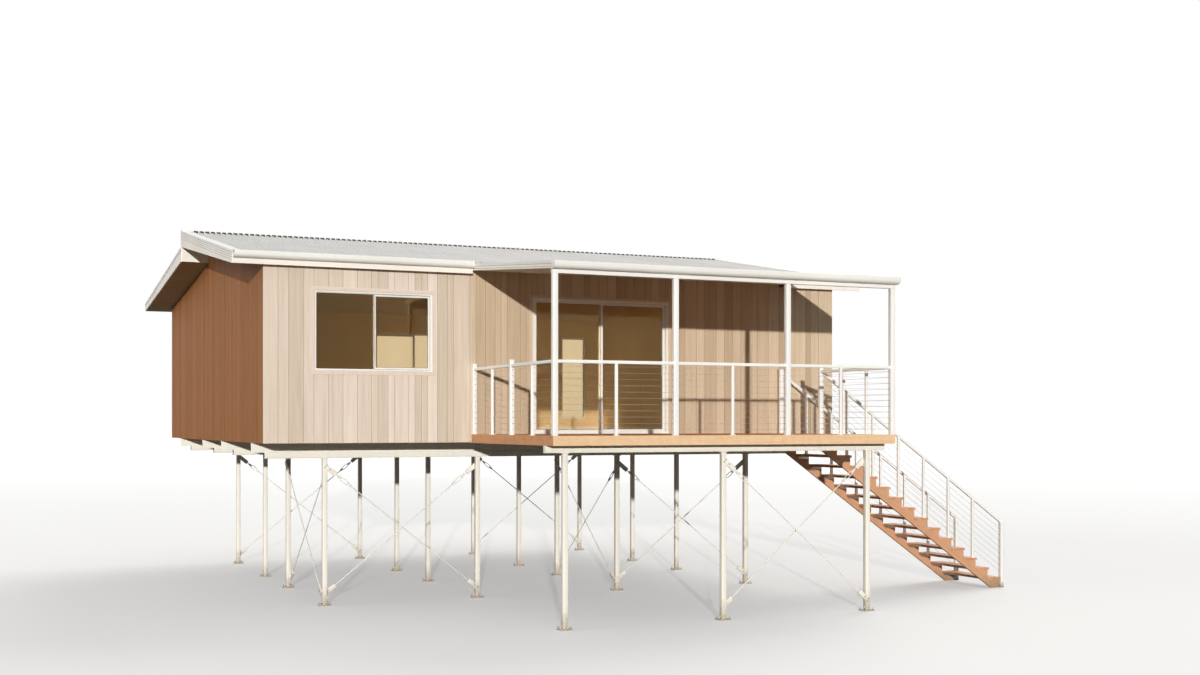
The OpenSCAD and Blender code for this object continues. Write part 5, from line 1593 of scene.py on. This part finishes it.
def brace_lines(origin, along, normal, span, head):
    """A bay's two rods: start, direction, direction across, direction outwards and length."""
    origin, along, normal = Vector(origin), Vector(along), Vector(normal)
    low, high = BRACE_FROM_FOOT - CLEAR_H, head - BRACE_FROM_HEAD
    lines = []
    for side in (1, -1):
        out = normal * side
        face = out * ((STUMP_W + BRACE_PLATE_T) / 2)
        start, end = (origin, origin + along * span)[::side]
        start, end = start + Vector((0, 0, low)) + face, end + Vector((0, 0, high)) + face
        way = (end - start).normalized()
        lines.append((start, way, way.cross(normal), out, (end - start).length))
    return lines


def add_brace_end(bm, root, way, across, out):
    """A plate on a stump, and the square block that holds the rod, pinned to it."""
    shape = [(-0.010, -0.034), (0.0, -0.038), (0.060, -0.036), (0.120, -0.026), (0.120, 0.026),
             (0.060, 0.036), (0.0, 0.038), (-0.010, 0.034)]
    add_prism(bm, [root + way * u + across * v - out * BRACE_PLATE_T / 2 for u, v in shape],
              out * BRACE_PLATE_T)
    add_bar(bm, root + way * 0.054, root + way * 0.214, 0.072, 0.028, 0.006, up=out)


columns, rows = STUMP_COLUMNS, STUMP_ROWS
along_x, along_y = ((1, 0, 0), (0, 1, 0)), ((0, 1, 0), (-1, 0, 0))
braces = [((x, y, 0), *along_x, columns[1] - columns[0], STUMP_TOP)
          for y in (rows[0], rows[3]) for x in (columns[0], columns[2])]
braces += [((x, rows[0], 0), *along_y, rows[1] - rows[0], STUMP_TOP)
           for x in (columns[0], columns[2])]
braces.append(((DECK_COLUMNS[1], DECK_ROW_Y, 0), *along_x, DECK_COLUMNS[2] - DECK_COLUMNS[1],
               DECK_STUMP_TOP))
rods = [line for brace in braces for line in brace_lines(*brace)]
print("brace rods:", len(rods))

# %% Make the braces
rod_paths, bow_paths, brace_bolts = [], [], []
bm = bmesh.new()
for start, way, across, out, length in rods:
    buckle = length - TURNBUCKLE_FROM_TOP
    add_brace_end(bm, start, way, across, out)
    add_brace_end(bm, start + way * length, -way, across, out)
    rod_paths.append([start + way * ROD_END, start + way * (buckle + 0.055)])
    rod_paths.append([start + way * (buckle + 0.175), start + way * (length - ROD_END)])
    for side in (-1, 1):
        bow_paths.append([start + way * (buckle + TURNBUCKLE_L * t / 8)
                          + across * side * (0.010 + 0.016 * math.sin(math.pi * t / 8))
                          for t in range(9)])
    for near in (buckle - 0.012, buckle + 0.217):
        add_bar(bm, start + way * near, start + way * (near + 0.025), 0.034, 0.034, 0.012, up=out)
    for u, v, rise in ((0.012, -0.020, 0.004), (0.012, 0.020, 0.004), (0.090, 0.0, 0.014)):
        brace_bolts += [(start + way * place + across * v + out * rise, out)
                        for place in (u, length - u)]
finish_piece("brace_plates", bm, steel_cream, ["house_braces", "deck_braces"])
add_wires("brace_rods", rod_paths, ROD_D, 12, steel_cream)
add_wires("turnbuckle_bows", bow_paths, 0.012, 10, steel_cream)
add_fasteners("brace_bolts", brace_bolts, 0.019, 0.009, 0.027)
